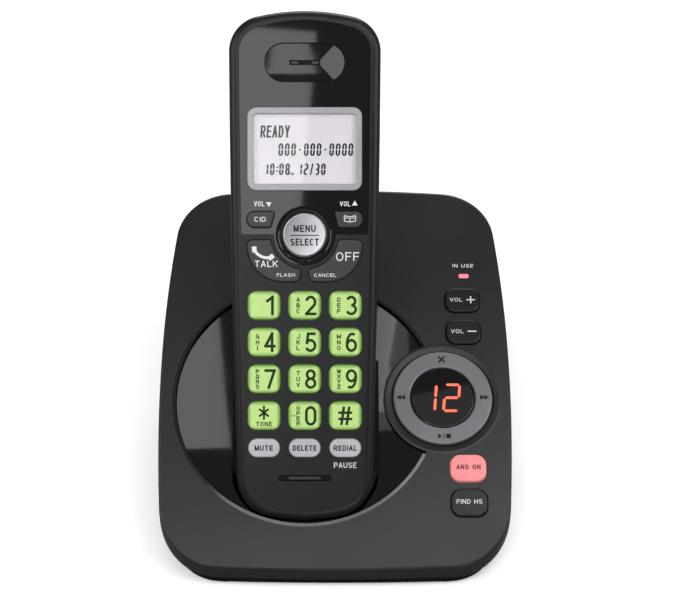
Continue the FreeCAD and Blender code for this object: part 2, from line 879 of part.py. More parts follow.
def ring_and_counter():
    """Ring key, the gimbal ring that it rocks on, the counter inside it and the counter's window."""
    ring = new_body("ring", panel_frame())
    sketch = new_sketch(ring, -S.ring_thickness)
    draw_circle(sketch, 2 * S.ring_outer)
    pad(ring, sketch, S.ring_thickness + S.ring_proud)
    cut_disc(ring, 2 * S.ring_inner, S.ring_proud, -S.ring_thickness)
    soften(ring, S.ring_round, at_level(S.ring_proud.number))
    skirt = boolean(
        "Cut", "skirt",
        cylinder("skirt_out", S.skirt_outer, S.skirt_bottom - S.ring_thickness + 0.5, panel_frame(z=-S.skirt_bottom.number)),
        cylinder("skirt_in", S.skirt_outer - S.skirt_wall, 10, panel_frame(z=-S.skirt_bottom.number - 1)),
    )
    across = Placement(Vector(), ACROSS)
    bore = cylinder("skirt_bore", S.nub_diameter / 2 + S.nub_gap, 2 * S.skirt_outer + 4, panel_frame(-S.skirt_outer.number - 2, 0, gimbal_level()) * across)
    low_ring = boolean("Cut", "skirt_bored", skirt, bore)
    piece(boolean("MultiFuse", "ring_whole", ring, low_ring), "ring_key")

    half = S.gimbal_thickness / 2
    gimbal = boolean(
        "Cut", "gimbal_ring",
        cylinder("gimbal_out", S.gimbal_outer, S.gimbal_thickness, panel_frame(z=gimbal_level() - half.number)),
        cylinder("gimbal_in", S.gimbal_inner, 10, panel_frame(z=gimbal_level() - 5)),
    )
    nubs = []
    for i, side in enumerate((-1, 1)):
        outward = Rotation(Vector(0, 1, 0), 90 * side)
        inward = Rotation(Vector(1, 0, 0), 90 * side)
        nubs.append(cylinder(
            f"nub_across_{i}", S.nub_diameter / 2, S.skirt_outer - S.gimbal_outer + 0.2,
            moved(panel_frame(z=gimbal_level()), x=side * (S.gimbal_outer.number - 0.4), turn=outward),
        ))
        nubs.append(cylinder(
            f"nub_along_{i}", S.nub_diameter / 2, S.gimbal_inner - S.collar_outer + S.collar_wall,
            moved(panel_frame(z=gimbal_level()), y=side * (S.gimbal_inner.number + 0.4), turn=inward),
        ))
    piece(boolean("MultiFuse", "gimbal_whole", gimbal, *nubs), "ring_gimbal")

    depth = S.panel_board_depth
    collar = boolean(
        "Cut", "collar",
        cylinder("collar_out", S.collar_outer, depth - S.window_thickness, panel_frame(z=-depth.number)),
        cylinder("collar_in", S.collar_outer - S.collar_wall - 0.8, depth, panel_frame(z=-depth.number + 0.8)),
        cylinder("collar_bore", S.nub_diameter / 2 + S.nub_gap, 2 * S.collar_outer + 4, panel_frame(0, -S.collar_outer.number - 2, gimbal_level()) * Placement(Vector(), BACKWARD)),
    )
    digits = block("digit_block", S.counter_width, S.counter_height, depth - S.counter_top, panel_frame(z=-depth.number))
    piece(boolean("MultiFuse", "counter", collar, digits), "message_counter")

    window = new_body("window", panel_frame())
    add_disc(window, 2 * S.window_radius, -S.window_thickness, S.window_proud)
    soften(window, 0.35, at_level(S.window_proud.number))
    piece(window, "counter_window")


def gimbal_level():
    return -S.gimbal_depth.number


def base_keys():
    for name, along in BUTTONS.items():
        key = new_body(name + "_body", button_frame(along))
        lip_top = -S.plate_depth - S.button_play
        lip_low = lip_top - S.button_lip_thickness
        add_box(key, S.button_width, S.button_height + 2 * S.button_lip, S.button_corner, lip_low, lip_top)
        add_box(key, S.button_width, S.button_height, S.button_corner, lip_top, S.button_proud)
        soften(key, S.button_round, at_level(S.button_proud.number))
        add_disc(key, S.button_stem, lip_low - S.button_stem_length, lip_low)
        piece(key, name)

    lamp = new_body("lamp", lamp_frame())
    add_box(lamp, S.lamp_width + 1.6, S.lamp_height + 1.6, 0.6, -S.plate_depth - 0.8, -S.plate_depth)
    add_box(lamp, S.lamp_width, S.lamp_height, S.lamp_height * 0.45 - S.seam, -S.plate_depth, S.lamp_proud)
    add_box(lamp, S.lamp_width - 0.4, S.lamp_height - 0.2, 0.3, -S.lamp_length, -S.plate_depth - 0.8)
    piece(lamp, "in_use_lamp")


def panel_board():
    """The board under the control panel, with its switches and the lamp's light source."""
    depth = S.panel_board_depth + S.panel_board_thickness
    middle = (S.panel_board_back - S.panel_board_front) / 2
    board = new_body("panel_board", panel_frame(S.panel_board_shift.number, middle.number, 0))
    add_box(board, S.panel_board_width, S.panel_board_back + S.panel_board_front, 1.5, -depth, -S.panel_board_depth)
    level = -S.panel_board_depth.number
    switches = []
    for i, along in enumerate(BUTTONS.values()):
        reach = along - S.panel_along
        spot = panel_frame(S.button_across.number - S.panel_across.number, reach.number, level - 0.2)
        switches.append(block(f"switch_{i}", S.switch_side, S.switch_side, S.switch_height + 0.2, spot))
    for i, (x, y) in enumerate([(1, 0), (-1, 0), (0, 1), (0, -1)]):
        reach = S.ring_switch_radius.number
        spot = panel_frame(x * reach, y * reach, level - 0.2)
        switches.append(block(f"ring_switch_{i}", 2.2, 2.2, S.switch_height + 0.2, spot))
    light = block(
        "lamp_source", 2.4, 1.6, 1.3,
        panel_frame(S.lamp_across.number - S.panel_across.number, (S.lamp_along - S.panel_along).number, level - 0.2),
    )
    holes = [
        cylinder(f"board_hole_{i}", S.small_screw / 2 + 0.15, 6, panel_frame(x, y, level - 3))
        for i, (x, y) in enumerate(post_spots())
    ]
    done = boolean("Cut", "panel_board_done", boolean("MultiFuse", "panel_board_whole", board, *switches, light), *holes)
    piece(done, "panel_circuit_board")
    screws = [
        screw(f"panel_screw_{i}", panel_frame(x, y, -depth.number), 4.0, 1.2, S.small_screw, 5.0)
        for i, (x, y) in enumerate(post_spots())
    ]
    piece(together("panel_screw_set", screws), "panel_screws")


def cradle_dish():
    """The glossy dish with the handset's pocket hanging under it."""
    under = S.dish_depth + S.dish_thickness
    disc = cylinder("disc", S.dish_hole - S.dish_gap, 20, moved(dish_frame(), z=-11))
    plate = boolean(
        "Cut", "dish_plate", boolean("MultiCommon", "dish_solid", disc, crown("crown_dish", S.dish_depth)),
        crown("crown_dish_low", under), cylinder("dish_bite", S.ring_island + S.dish_gap, 28, panel_frame(z=-14)),
    )
    below = crown("crown_below", S.slab_depth + S.tray_gap)
    tray = boolean(
        "MultiCommon", "tray", tray_block("tray_block", S.pocket_wall), crown("crown_tray", S.dish_depth + 0.2),
        boolean("MultiFuse", "tray_limits", cylinder("tray_round", S.dish_hole - S.dish_gap, 60, moved(dish_frame(), z=-50)), below),
    )
    hollow = boolean("MultiCommon", "pocket_hollow", pocket_form("pocket_shape", ZERO), side_profile("pocket_side", -S.pocket_gap))
    bores = [
        cylinder(f"pin_bore_{i}", S.pin_diameter / 2 + 0.1, 8, moved(heel_frame(side), z=-2))
        for i, side in enumerate((-1, 1))
    ]
    done = boolean("Cut", "dish", boolean("MultiFuse", "dish_whole", plate, tray), hollow, *bores)
    piece(done, "cradle_dish")

    pins = []
    for i, side in enumerate((-1, 1)):
        pin = new_body(f"pin_{i}", heel_frame(side))
        low = S.pocket_gap + S.pocket_wall
        add_disc(pin, S.pin_diameter, S.pin_reach, low + 1.2)
        add_disc(pin, S.pin_diameter + 1.8, low, low + 1)
        soften(pin, 0.45, at_level(S.pin_reach.number))
        pins.append(pin)
    piece(together("pin_set", pins), "base_charging_contacts")


def tray_block(name, grow):
    """The pocket's outer form: the hollow grown by a wall, before the crown trims it."""
    return boolean("MultiCommon", name, pocket_form(name + "_form", grow), side_profile(name + "_side", -S.pocket_gap - grow))


def pocket_form(name, grow):
    """The pocket's outline in the handset's frame, extruded right through the base."""
    body = new_body(name, on_handset())
    sketch = new_sketch(body, -60, along=-S.pocket_gap - grow)
    draw_bowed(
        sketch, S.pocket_half + grow, S.pocket_half + grow, Size.of(130),
        S.handset_low_bow, Size.of(1), S.pocket_bow,
    )
    pad(body, sketch, 100)
    corner = S.handset_low_corner + S.pocket_half - S.handset_low_half + grow
    soften(body, corner, lambda e: upright(e) and low_end(e))
    return body


def low_end(edge):
    """An upright edge at the handset's foot, in a body on the handset's frame."""
    return edge.BoundBox.Center.y < 60


def side_profile(name, inset):
    """The handset's side view as a prism: its heel, back and head, moved in by the inset."""
    body = new_body(name, on_handset())
    sketch = new_sketch(body, ZERO, plane="YZ_Plane")
    back = -S.handset_thickness + inset
    heel = S.heel_length + inset * 0.4142
    slope = (S.handset_thickness - S.head_thickness) / (S.handset_length - S.head_start)
    draw_loop(sketch, [
        (heel - 60, back + 60), (heel, back), (S.head_start, back),
        (S.head_start + 100, back + slope * 100), (S.head_start + 100, back + 60),
    ])
    pad(body, sketch, 90, both_ways=True)
    return body


def heel_frame(side, deeper=0.0):
    """On the handset's heel, Z out of it."""
    spot = on_handset(side * S.contact_spread.number, S.contact_along.number, S.contact_along.number * -1 - S.end_thickness.number)
    return moved(spot, turn=Rotation(Vector(1, 0, 0), 135))


def base_insides():
    half = S.board_main_half
    run = S.board_main_back - S.board_main_front
    middle = (S.board_main_back + S.board_main_front) / 2
    board = new_body("main_board", on_base(0, middle.number, S.board_main_height.number))
    add_box(board, 2 * half, run, 2, ZERO, S.board_main_thickness)
    add_box(board, 18, 12, 0.5, S.board_main_thickness, S.board_main_thickness + 2.2, along=Size.of(-6))
    piece(board, "base_circuit_board")

    frame = on_base(S.speaker_across.number, S.speaker_along.number, S.floor_height.number + S.floor_thickness.number)
    speaker = new_body("speaker", frame)
    add_disc(speaker, 2 * S.speaker_radius, ZERO, 2.4)
    add_disc(speaker, S.speaker_radius * 1.5, 2.4, 4.4)
    add_disc(speaker, S.speaker_radius * 1.1, 4.4, S.speaker_height)
    piece(speaker, "base_speaker")

    face = S.base_length - S.lower_back_inset - 0.4
    line = new_body("line_socket", on_base(S.line_jack_across.number, face.number, jack_level()))
    add_box(line, S.line_jack_width, S.line_jack_length, 0.4, ZERO, S.line_jack_height, along=-S.line_jack_length / 2)
    socket = block("line_hole", S.line_socket_width, 2 * S.line_socket_depth, S.line_socket_height, on_base(
        S.line_jack_across.number, face.number, jack_level() + 2.2))
    notch = block("line_notch", S.line_socket_width * 0.4, 2 * S.line_socket_depth, 1.6, on_base(
        S.line_jack_across.number, face.number, jack_level() + 2.2 + S.line_socket_height.number - 0.1))
    piece(boolean("Cut", "line_jack_done", line, socket, notch), "line_jack")

    power = new_body("power_body", on_base(S.power_jack_across.number, face.number, jack_level()))
    add_box(power, S.power_jack_side, S.power_jack_length, 0.6, ZERO, S.power_jack_side, along=-S.power_jack_length / 2)
    mouth = on_base(S.power_jack_across.number, face.number - S.power_depth.number, jack_level() + S.power_jack_side.number / 2)
    bore = cylinder("power_bore", S.power_bore / 2, S.power_depth + 3, mouth * Placement(Vector(), BACKWARD))
    pin = cylinder("power_pin", S.power_pin / 2, S.power_depth - 0.8, moved(mouth, y=-0.5) * Placement(Vector(), BACKWARD))
    piece(boolean("MultiFuse", "power_done", boolean("Cut", "power_cut", power, bore), pin), "power_jack")


# Handset


def handset_form(name, inset, bottom, top):
    """The handset's outline between two levels of its own frame."""
    body = new_body(name, on_handset())
    sketch = new_sketch(body, bottom, along=Size.of(inset))
    draw_bowed(
        sketch, S.handset_low_half - inset, S.handset_high_half - inset, S.handset_length - 2 * inset,
        S.handset_low_bow, S.handset_high_bow, S.handset_side_bow,
    )
    pad(body, sketch, Size.of(top) - bottom)
    soften(body, S.handset_low_corner - inset, lambda e: upright(e) and low_end(e))
    soften(body, S.handset_high_corner - inset, lambda e: upright(e) and e.BoundBox.Center.y > 150)
    return body


def box_form(width, height, corner, across, along):
    return lambda body, bottom, top, grow=ZERO: add_box(
        body, width + 2 * grow, height + 2 * grow, corner + grow, bottom, top, across, along
    )


def disc_form(diameter, across, along):
    return lambda body, bottom, top, grow=ZERO: add_disc(body, diameter + 2 * grow, bottom, top, across, along)


def loop_form(body, points, bottom, top, rounds):
    """A prism through points, each of whose corners has its own radius."""
    sketch = new_sketch(body, bottom)
    draw_loop(sketch, points)
    feature = pad(body, sketch, Size.of(top) - bottom)
    for (x, y), radius in zip(points, rounds):
        spot = Vector(Size.of(x).number, Size.of(y).number, 0)
        soften(body, radius, lambda e: upright(e) and (flat_centre(e) - spot).Length < 0.05 and within(e, bottom, top))
    return feature


def flat_centre(edge):
    middle = edge.BoundBox.Center
    return Vector(middle.x, middle.y, 0)


def within(edge, bottom, top):
    low, high = Size.of(bottom).number - 0.01, Size.of(top).number + 0.01
    return edge.BoundBox.ZMin >= low and edge.BoundBox.ZMax <= high


def call_form(side):
    """The broad keys that curl round the menu key."""

    def build(body, bottom, top, grow=ZERO):
        outer, inner = S.call_outer + grow, S.call_inner - grow
        low, high = S.call_low - grow, S.call_top + grow
        points = [(side * outer, high), (side * outer, low), (side * inner, low), (side * inner, high)]
        rounds = [2.0 + grow, S.call_sweep + grow, 2.2 + grow]
        loop_form(body, points, bottom, top, rounds)
        cut_disc(body, 2 * (S.call_scoop - grow), top, bottom, ZERO, S.menu_along)
        soften(body, 1.1, lambda e: upright(e) and on_scoop(e, grow) and within(e, bottom, top))

    def on_scoop(edge, grow):
        spot = flat_centre(edge)
        reach = math.hypot(spot.x, spot.y - S.menu_along.number)
        return abs(reach - (S.call_scoop - grow).number) < 0.05

    return build


def side_form(side):
    """The small keys beside the menu key: round outside, slanted inside."""

    def build(body, bottom, top, grow=ZERO):
        half, tall = S.side_key_width / 2 + grow, S.side_key_height / 2 + grow
        middle, along = side * S.side_key_across, S.side_key_along
        slant = S.side_key_slant
        points = [
            (middle + side * half, along - tall), (middle + side * half, along + tall),
            (middle - side * half, along + tall), (middle - side * half + side * slant, along - tall),
        ]
        loop_form(body, points, bottom, top, [tall - 0.15, tall - 0.15, 0.8 + grow, 0.8 + grow])

    return build


def handset_keys():
    """Every handset key: node name and the form of its outline."""
    keys = {}
    names = ["one", "two", "three", "four", "five", "six", "seven", "eight", "nine", "star", "zero", "pound"]
    for i, name in enumerate(names):
        row, column = divmod(i, 3)
        across = S.key_pitch_across * (column - 1)
        along = S.key_first_row - S.key_pitch_along * row
        keys[f"key_{name}"] = box_form(S.key_width, S.key_height, S.key_corner, across, along)
    for column, name in enumerate(["mute_key", "delete_key", "redial_key"]):
        across = S.key_pitch_across * (column - 1)
        keys[name] = box_form(S.pill_width, S.pill_height, S.pill_height / 2 - 0.1, across, S.pill_row)
    keys["caller_id_key"] = side_form(-1)
    keys["directory_key"] = side_form(1)
    keys["talk_key"] = call_form(-1)
    keys["off_key"] = call_form(1)
    keys["menu_key"] = disc_form(S.menu_diameter, ZERO, S.menu_along)
    return keys


def key_bodies():
    lip_top = -S.front_plate - S.key_play
    lip_low = lip_top - S.key_lip_thickness
    for name, form in KEYS.items():
        proud = S.menu_proud if name == "menu_key" else S.key_proud
        face = tool_body(name + "_face", form, lip_low, proud)
        soften(face, S.key_round, at_level(proud.number))
        lip = tool_body(name + "_lip", form, lip_low, lip_top, S.key_lip)
        stem = tool_body(name + "_stem", form, lip_low - S.key_stem_length, lip_low + 0.2, -S.key_stem_inset)
        piece(boolean("MultiFuse", name + "_whole", face, lip, stem), name)


def faceplate_form(name, gap, bottom, top):
    """The faceplate's outline: the inset outline above the seam, and a lobe round the menu key."""
    inset = handset_form(name + "_outline", S.faceplate_inset + gap, bottom, top)
    above = new_body(name + "_above", on_handset())
    add_box(above, 60, 120, 1, Size.of(bottom) - 1, Size.of(top) + 1, along=S.faceplate_foot + 60 + gap)
    lobe = new_body(name + "_lobe", on_handset())
    add_disc(lobe, 2 * (S.faceplate_lobe - gap), Size.of(bottom) - 1, Size.of(top) + 1, along=S.menu_along)
    return boolean("MultiCommon", name, inset, boolean("MultiFuse", name + "_reach", above, lobe))


def tool_body(name, form, bottom, top, grow=ZERO):
    body = new_body(name, on_handset())
    form(body, bottom, top, grow)
    return body


def menu_bevel(name, depth):
    """The cone that opens the menu key's well."""
    low = S.menu_diameter / 2 + S.key_gap
    return cone(
        name, low, low + (S.menu_well / 2 - low) * 2, depth * 2,
        on_handset(0, S.menu_along.number, -depth.number),
    )


def handset_front():
    keep = handset_form("front_outer", ZERO, -S.front_thickness, ZERO)
    soften(keep, S.front_round, at_level(0))
    hollow = handset_form("front_inner", S.handset_wall, -S.front_thickness, -S.front_plate)
    bosses = [
        cylinder(f"front_boss_{i}", 2.6, S.boss_meet - 1, on_handset(x, S.handset_screw_along.number, -S.boss_meet.number))
        for i, x in enumerate(screw_sides())
    ]
    whole = boolean("MultiFuse", "front_whole", boolean("Cut", "front_cut", keep, hollow), *bosses)
    tools = [
        tool_body("hole_" + name, form, -S.front_plate - 0.6, 4, S.key_gap) for name, form in KEYS.items()
    ]
    tools.append(faceplate_form("faceplate_seat", ZERO, -S.faceplate_thickness, Size.of(4)))
    glass = box_form(S.glass_width + 1.6, S.glass_height + 1.6, Size.of(1), ZERO, S.display_along)
    tools.append(tool_body("display_hole", glass, -4, 4))
    slot = box_form(S.ear_slot_width, S.ear_slot_height, S.ear_slot_height / 2 - 0.05, ZERO, S.ear_along)
    tools.append(tool_body("ear_slot", slot, -4, 4))
    mic_slot = box_form(S.mic_slot_width, S.mic_slot_height, S.mic_slot_height / 2 - 0.05, ZERO, S.mic_along)
    tools.append(tool_body("mic_slot", mic_slot, -S.mic_slot_depth, 4))
    for i, side in enumerate((-1, 1)):
        hole = disc_form(S.mic_hole, side * S.mic_hole_spread, S.mic_along)
        tools.append(tool_body(f"mic_hole_{i}", hole, -4, 4))
    for i, x in enumerate(screw_sides()):
        tools.append(cylinder(f"front_pilot_{i}", S.screw_hole / 2, S.boss_meet - 3, on_handset(x, S.handset_screw_along.number, -S.boss_meet.number)))
    piece(boolean("Cut", "front_shell", whole, *tools), "handset_front_shell")


def screw_sides():
    return (-S.handset_screw_spread.number, S.handset_screw_spread.number)


def handset_back():
    top = -S.front_thickness - S.seam
    rough = boolean("MultiCommon", "back_solid", handset_form("back_outer", ZERO, -S.handset_thickness - 2, top), side_profile("back_side", ZERO))
    doc.recompute()
    level = top.number
    frame = on_handset().inverse()

    def wanted(edge):
        first, last = edge.ParameterRange
        spots = [frame.multVec(edge.valueAt(first + t * (last - first))) for t in (0.0, 0.5, 1.0)]
        if all(abs(p.z - level) < 0.01 for p in spots):
            return False
        return not (abs(spots[0].x - spots[2].x) < 0.01 and abs(spots[0].y - spots[2].y) < 0.01)

    rim = edges_where(rough.Shape, wanted)
    soft = doc.addObject("Part::Fillet", "back_soft")
    soft.Base = rough
    soft.Edges = [(int(name[4:]), S.back_round.number, S.back_round.number) for name in rim]
    hollow = boolean("MultiCommon", "back_hollow", handset_form("back_inner", S.handset_wall, -S.handset_thickness, top + 1), side_profile("back_inside", S.handset_wall))
    shell = boolean("Cut", "back_cut", soft, hollow)

    middle = (S.bay_low + S.bay_high) / 2
    long = S.bay_high - S.bay_low
    bay_case = new_body("bay_case", on_handset())
    add_box(bay_case, 2 * (S.door_half + 1.8), long + 5.6, 1, -S.handset_thickness, -S.bay_top + S.bay_wall, along=middle)
    run = new_body("door_run", on_handset())
    add_box(run, 2 * (S.door_half + 1.8), 48, 1, -S.handset_thickness, -S.handset_thickness + 4, along=Size.of(84))
    bosses = [
        cylinder(f"back_boss_{i}", 3.2, S.handset_thickness - S.boss_meet - 1, on_handset(x, S.handset_screw_along.number, -S.handset_thickness.number + 0.95))
        for i, x in enumerate(screw_sides())
    ]
    extras = boolean("MultiCommon", "back_extras", boolean("MultiFuse", "extra_set", bay_case, run, *bosses), side_profile("extra_side", 0.3 + ZERO))
    whole = boolean("MultiFuse", "back_whole", shell, extras)
    tools = []
    bay = new_body("bay", on_handset())
    add_box(bay, 2 * S.bay_half, long, 1, -S.handset_thickness - 3, -S.bay_top, along=middle)
    tools.append(bay)
    recess = new_body("door_recess", on_handset())
    door_level = -S.handset_thickness + S.door_thickness
    add_box(
        recess, 2 * (S.door_half + S.door_gap), 100, 1.2, -S.handset_thickness - 3, door_level,
        along=S.door_low - S.door_gap + 50,
    )
    tools.append(recess)
    groove = new_body("door_groove", on_handset())
    add_box(
        groove, 2 * (S.door_half + S.tongue + S.door_gap), S.tongue_high - S.tongue_low + S.door_travel + 2, 0.3,
        door_level - S.tongue_thickness - 0.1, door_level,
        along=(S.tongue_high + S.tongue_low + S.door_travel) / 2,
    )
    tools.append(groove)
    for i, x in enumerate(screw_sides()):
        tools.append(cylinder(f"back_bore_{i}", S.screw_hole / 2, 20, on_handset(x, S.handset_screw_along.number, -S.handset_thickness.number)))
        tools.append(cylinder(f"back_head_{i}", S.screw_head / 2 + 0.3, S.handset_head_seat, on_handset(x, S.handset_screw_along.number, -S.handset_thickness.number - 0.5)))
    for i, side in enumerate((-1, 1)):
        tools.append(cylinder(f"contact_seat_{i}", S.contact_diameter / 2, 4, moved(heel_frame(side), z=0) * Placement(Vector(0, 0, -S.contact_thickness.number), Rotation())))
    piece(boolean("Cut", "back_shell", whole, *tools), "handset_back_shell")

    contacts = []
    for i, side in enumerate((-1, 1)):
        disc = new_body(f"contact_{i}", heel_frame(side))
        add_disc(disc, S.contact_diameter - 2 * S.seam, -S.contact_thickness, ZERO)
        soften(disc, 0.2, at_level(0))
        contacts.append(disc)
    piece(together("contact_set", contacts), "handset_charging_contacts")

    door = new_body("door", on_handset())
    span = S.door_high - S.door_low
    low = -S.handset_thickness
    add_box(door, 2 * S.door_half, span, 1, low, door_level, along=(S.door_high + S.door_low) / 2)
    add_box(
        door, 2 * (S.door_half + S.tongue), S.tongue_high - S.tongue_low, 0.3,
        door_level - S.tongue_thickness, door_level, along=(S.tongue_high + S.tongue_low) / 2,
    )
    piece(door, "battery_door")

    cells = []
    level = -S.bay_top.number - 0.6 - S.cell_diameter.number / 2
    for i in (-1, 0, 1):
        spot = on_handset(i * S.cell_pitch.number, S.cell_start.number, level)
        cells.append(cylinder(f"cell_{i + 1}", S.cell_diameter / 2, S.cell_length, spot * Placement(Vector(), BACKWARD)))
    wrap = new_body("wrap", on_handset())
    add_box(
        wrap, 2 * S.cell_pitch, S.cell_length - 2, 0.5, level - 2.2, level + 2.2,
        along=S.cell_start + S.cell_length / 2,
    )
    piece(boolean("MultiFuse", "pack", *cells, wrap), "battery_pack")

    screws = [
        screw(
            f"handset_screw_{i}", on_handset(x, S.handset_screw_along.number, -S.handset_thickness.number - 0.5 + S.handset_head_seat.number),
            S.screw_head, S.screw_head_height, S.screw_diameter, 12,
        )
        for i, x in enumerate(screw_sides())
    ]
    piece(together("handset_screw_set", screws), "handset_screws")


def handset_face_parts():
    plate = faceplate_form("faceplate", S.faceplate_gap, -S.faceplate_thickness, ZERO)
    tools = [
        tool_body("faceplate_" + name, KEYS[name], -4, 4, S.key_gap)
        for name in ("caller_id_key", "directory_key", "menu_key")
    ]
    bezel = box_form(S.bezel_width + 0.2, S.bezel_height + 0.2, S.bezel_corner, ZERO, S.display_along)
    tools.append(tool_body("bezel_hole", bezel, -4, 4))
    ear = box_form(S.ear_width, S.ear_height, S.ear_height / 2 - 0.1, ZERO, S.ear_along)
    tools.append(tool_body("ear_recess", ear, -S.ear_depth, 4))
    slot = box_form(S.ear_slot_width, S.ear_slot_height, S.ear_slot_height / 2 - 0.05, ZERO, S.ear_along)
    tools.append(tool_body("faceplate_slot", slot, -4, 4))
    tools.append(menu_bevel("menu_bevel", S.menu_well_depth))
    piece(boolean("Cut", "faceplate_done", plate, *tools), "handset_faceplate")

    frame = new_body("bezel", on_handset())
    seat = -S.faceplate_thickness
    add_box(frame, S.bezel_width, S.bezel_height, S.bezel_corner, seat, S.bezel_proud, along=S.display_along)
    cut_box(frame, S.glass_width, S.glass_height, 1, S.bezel_proud, seat, along=S.display_along)
    soften(frame, 0.25, at_level(S.bezel_proud.number))
    piece(frame, "display_bezel")

    lens = new_body("lens", on_handset())
    add_box(lens, S.glass_width - 0.2, S.glass_height - 0.2, 0.9, seat, seat + S.lens_thickness, along=S.display_along)
    piece(lens, "display_lens")

    lcd = new_body("lcd", on_handset())
    add_box(lcd, S.glass_width + 1.2, S.glass_height + 1.2, 0.8, seat - S.lcd_thickness, seat, along=S.display_along)
    add_box(lcd, S.glass_width - 2, S.glass_height - 2, 0.8, -S.mat_top - S.mat_thickness, seat - S.lcd_thickness, along=S.display_along)
    piece(lcd, "lcd_module")


def handset_insides():
    mat = new_body("mat", on_handset())
    middle = (S.mat_low + S.mat_high) / 2
    add_box(mat, S.mat_width, S.mat_high - S.mat_low, 3, -S.mat_top - S.mat_thickness, -S.mat_top, along=middle)
    piece(mat, "keypad_mat")

    top = -S.mat_top - S.mat_thickness
    board = new_body("handset_board", on_handset())
    middle = (S.board_low + S.board_high) / 2
    add_box(board, S.board_width, S.board_high - S.board_low, 9, top - S.board_thickness, top, along=middle)
    add_box(board, 16, 20, 0.5, top - S.board_thickness - 2, top - S.board_thickness, along=Size.of(110))
    for x in screw_sides():
        cut_disc(board, 6.2, top + 0.5, top - S.board_thickness - 2.5, Size.of(x), S.handset_screw_along)
    piece(board, "handset_circuit_board")

    speaker = new_body("ear_speaker", on_handset())
    add_disc(speaker, S.ear_speaker, -S.front_plate - 2.4, -S.front_plate, along=S.ear_along)
    add_disc(speaker, S.ear_speaker * 0.6, -S.front_plate - S.ear_speaker_height, -S.front_plate - 2.4, along=S.ear_along)
    piece(speaker, "earpiece_speaker")

    mic = new_body("mic", on_handset())
    add_disc(mic, S.mic_diameter, -S.front_plate - S.mic_height, -S.front_plate, S.mic_hole_spread, S.mic_along)
    piece(mic, "handset_microphone")


outer_form = lower_form("lower_outer", ZERO, S.floor_height)
inner_form = lower_form("lower_inner", S.lower_wall, S.floor_height + S.floor_thickness)
KEYS = handset_keys()

base_top_housing()
base_lower_housing()
base_feet_and_screws()
ring_and_counter()
base_keys()
panel_board()
cradle_dish()
base_insides()
handset_front()
handset_back()
handset_face_parts()
key_bodies()
handset_insides()
doc.recompute()


# Checks and export

for thing in doc.Objects:
    if "Invalid" in thing.State or "Error" in thing.State:
        raise RuntimeError(f"{thing.Name}: {thing.getStatusString()}")
os.makedirs("parts", exist_ok=True)
for thing in PIECES:
    if thing.Shape.isNull() or not thing.Shape.isValid():
        raise RuntimeError(f"{thing.Label}: bad shape")
    thing.Shape.exportStep(f"parts/{thing.Label}.step")
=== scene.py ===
# %% [markdown]
# Cordless telephone with an answering machine in its base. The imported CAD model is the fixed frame: its
# shells, keys and dish keep their shapes and get finishes here. What CAD leaves out is added as small
# pieces: printed legends, the lit digits, the display's figures, the facets of the earpiece. Each one rides
# on the body that carries it, so it follows every joint.

import json
import math

import bmesh
import bpy
from mathutils import Matrix, Vector


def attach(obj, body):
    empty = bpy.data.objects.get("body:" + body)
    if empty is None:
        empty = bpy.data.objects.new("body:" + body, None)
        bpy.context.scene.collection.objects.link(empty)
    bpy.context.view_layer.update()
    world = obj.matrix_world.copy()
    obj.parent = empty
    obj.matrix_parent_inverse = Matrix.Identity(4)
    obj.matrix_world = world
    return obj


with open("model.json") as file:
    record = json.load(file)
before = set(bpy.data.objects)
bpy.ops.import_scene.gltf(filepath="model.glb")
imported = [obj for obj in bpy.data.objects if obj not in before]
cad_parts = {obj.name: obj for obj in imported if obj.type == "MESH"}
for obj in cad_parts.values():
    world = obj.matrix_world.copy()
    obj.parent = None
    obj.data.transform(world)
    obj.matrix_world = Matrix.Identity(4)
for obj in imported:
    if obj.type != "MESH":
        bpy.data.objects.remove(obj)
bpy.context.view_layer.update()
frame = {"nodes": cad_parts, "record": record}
nodes = frame["nodes"]
MM = 0.001
print("CAD nodes:", len(nodes))

# %% [markdown]
# Two places are used again and again: the handset's own frame, whose Y runs up the handset and whose Z
# comes out of its face, and a frame on the base's crowned top at a distance along its arc. Both repeat the
# sizes of the CAD model, so a legend can be placed in millimetres on the face that carries it.

# %% Frames on the handset and on the base
LEAN = math.radians(40)
FOOT = Vector((-9.7, -53.05, 17.8))
UP_HANDSET = Vector((0, math.sin(LEAN), math.cos(LEAN)))
CROWN_RADIUS = 650.0
CROWN_SLOPE = math.radians(29.4)
CROWN_FRONT_HEIGHT = 8.3
FRONT_EDGE = -65.25


def handset_place(x=0.0, y=0.0, z=0.0):
    """The handset's frame moved by x, y, z in millimetres."""
    turn = Matrix.Rotation(math.pi / 2 - LEAN, 4, "X")
    return Matrix.Translation(FOOT * MM) @ turn @ Matrix.Translation(Vector((x, y, z)) * MM)


def crown_place(across, along, lift=0.0):
    """A frame on the base's top, Z out of it, at an arc distance from the front edge."""
    slope = CROWN_SLOPE - along / CROWN_RADIUS
    reach = CROWN_RADIUS + lift
    back = CROWN_RADIUS * math.sin(CROWN_SLOPE) - reach * math.sin(slope) + FRONT_EDGE
    up = CROWN_FRONT_HEIGHT - CROWN_RADIUS * math.cos(CROWN_SLOPE) + reach * math.cos(slope)
    return Matrix.Translation(Vector((across, back, up)) * MM) @ Matrix.Rotation(slope, 4, "X")


print("handset leans back", round(math.degrees(LEAN)), "degrees on a crown of", CROWN_RADIUS, "mm radius")

# %% [markdown]
# Shader maths reads best as maths. This class wraps one socket, so that `1 - mask * 0.5` writes the Math
# nodes. Its `node` method adds any node. The settings go first, because they decide which sockets the node
# has.

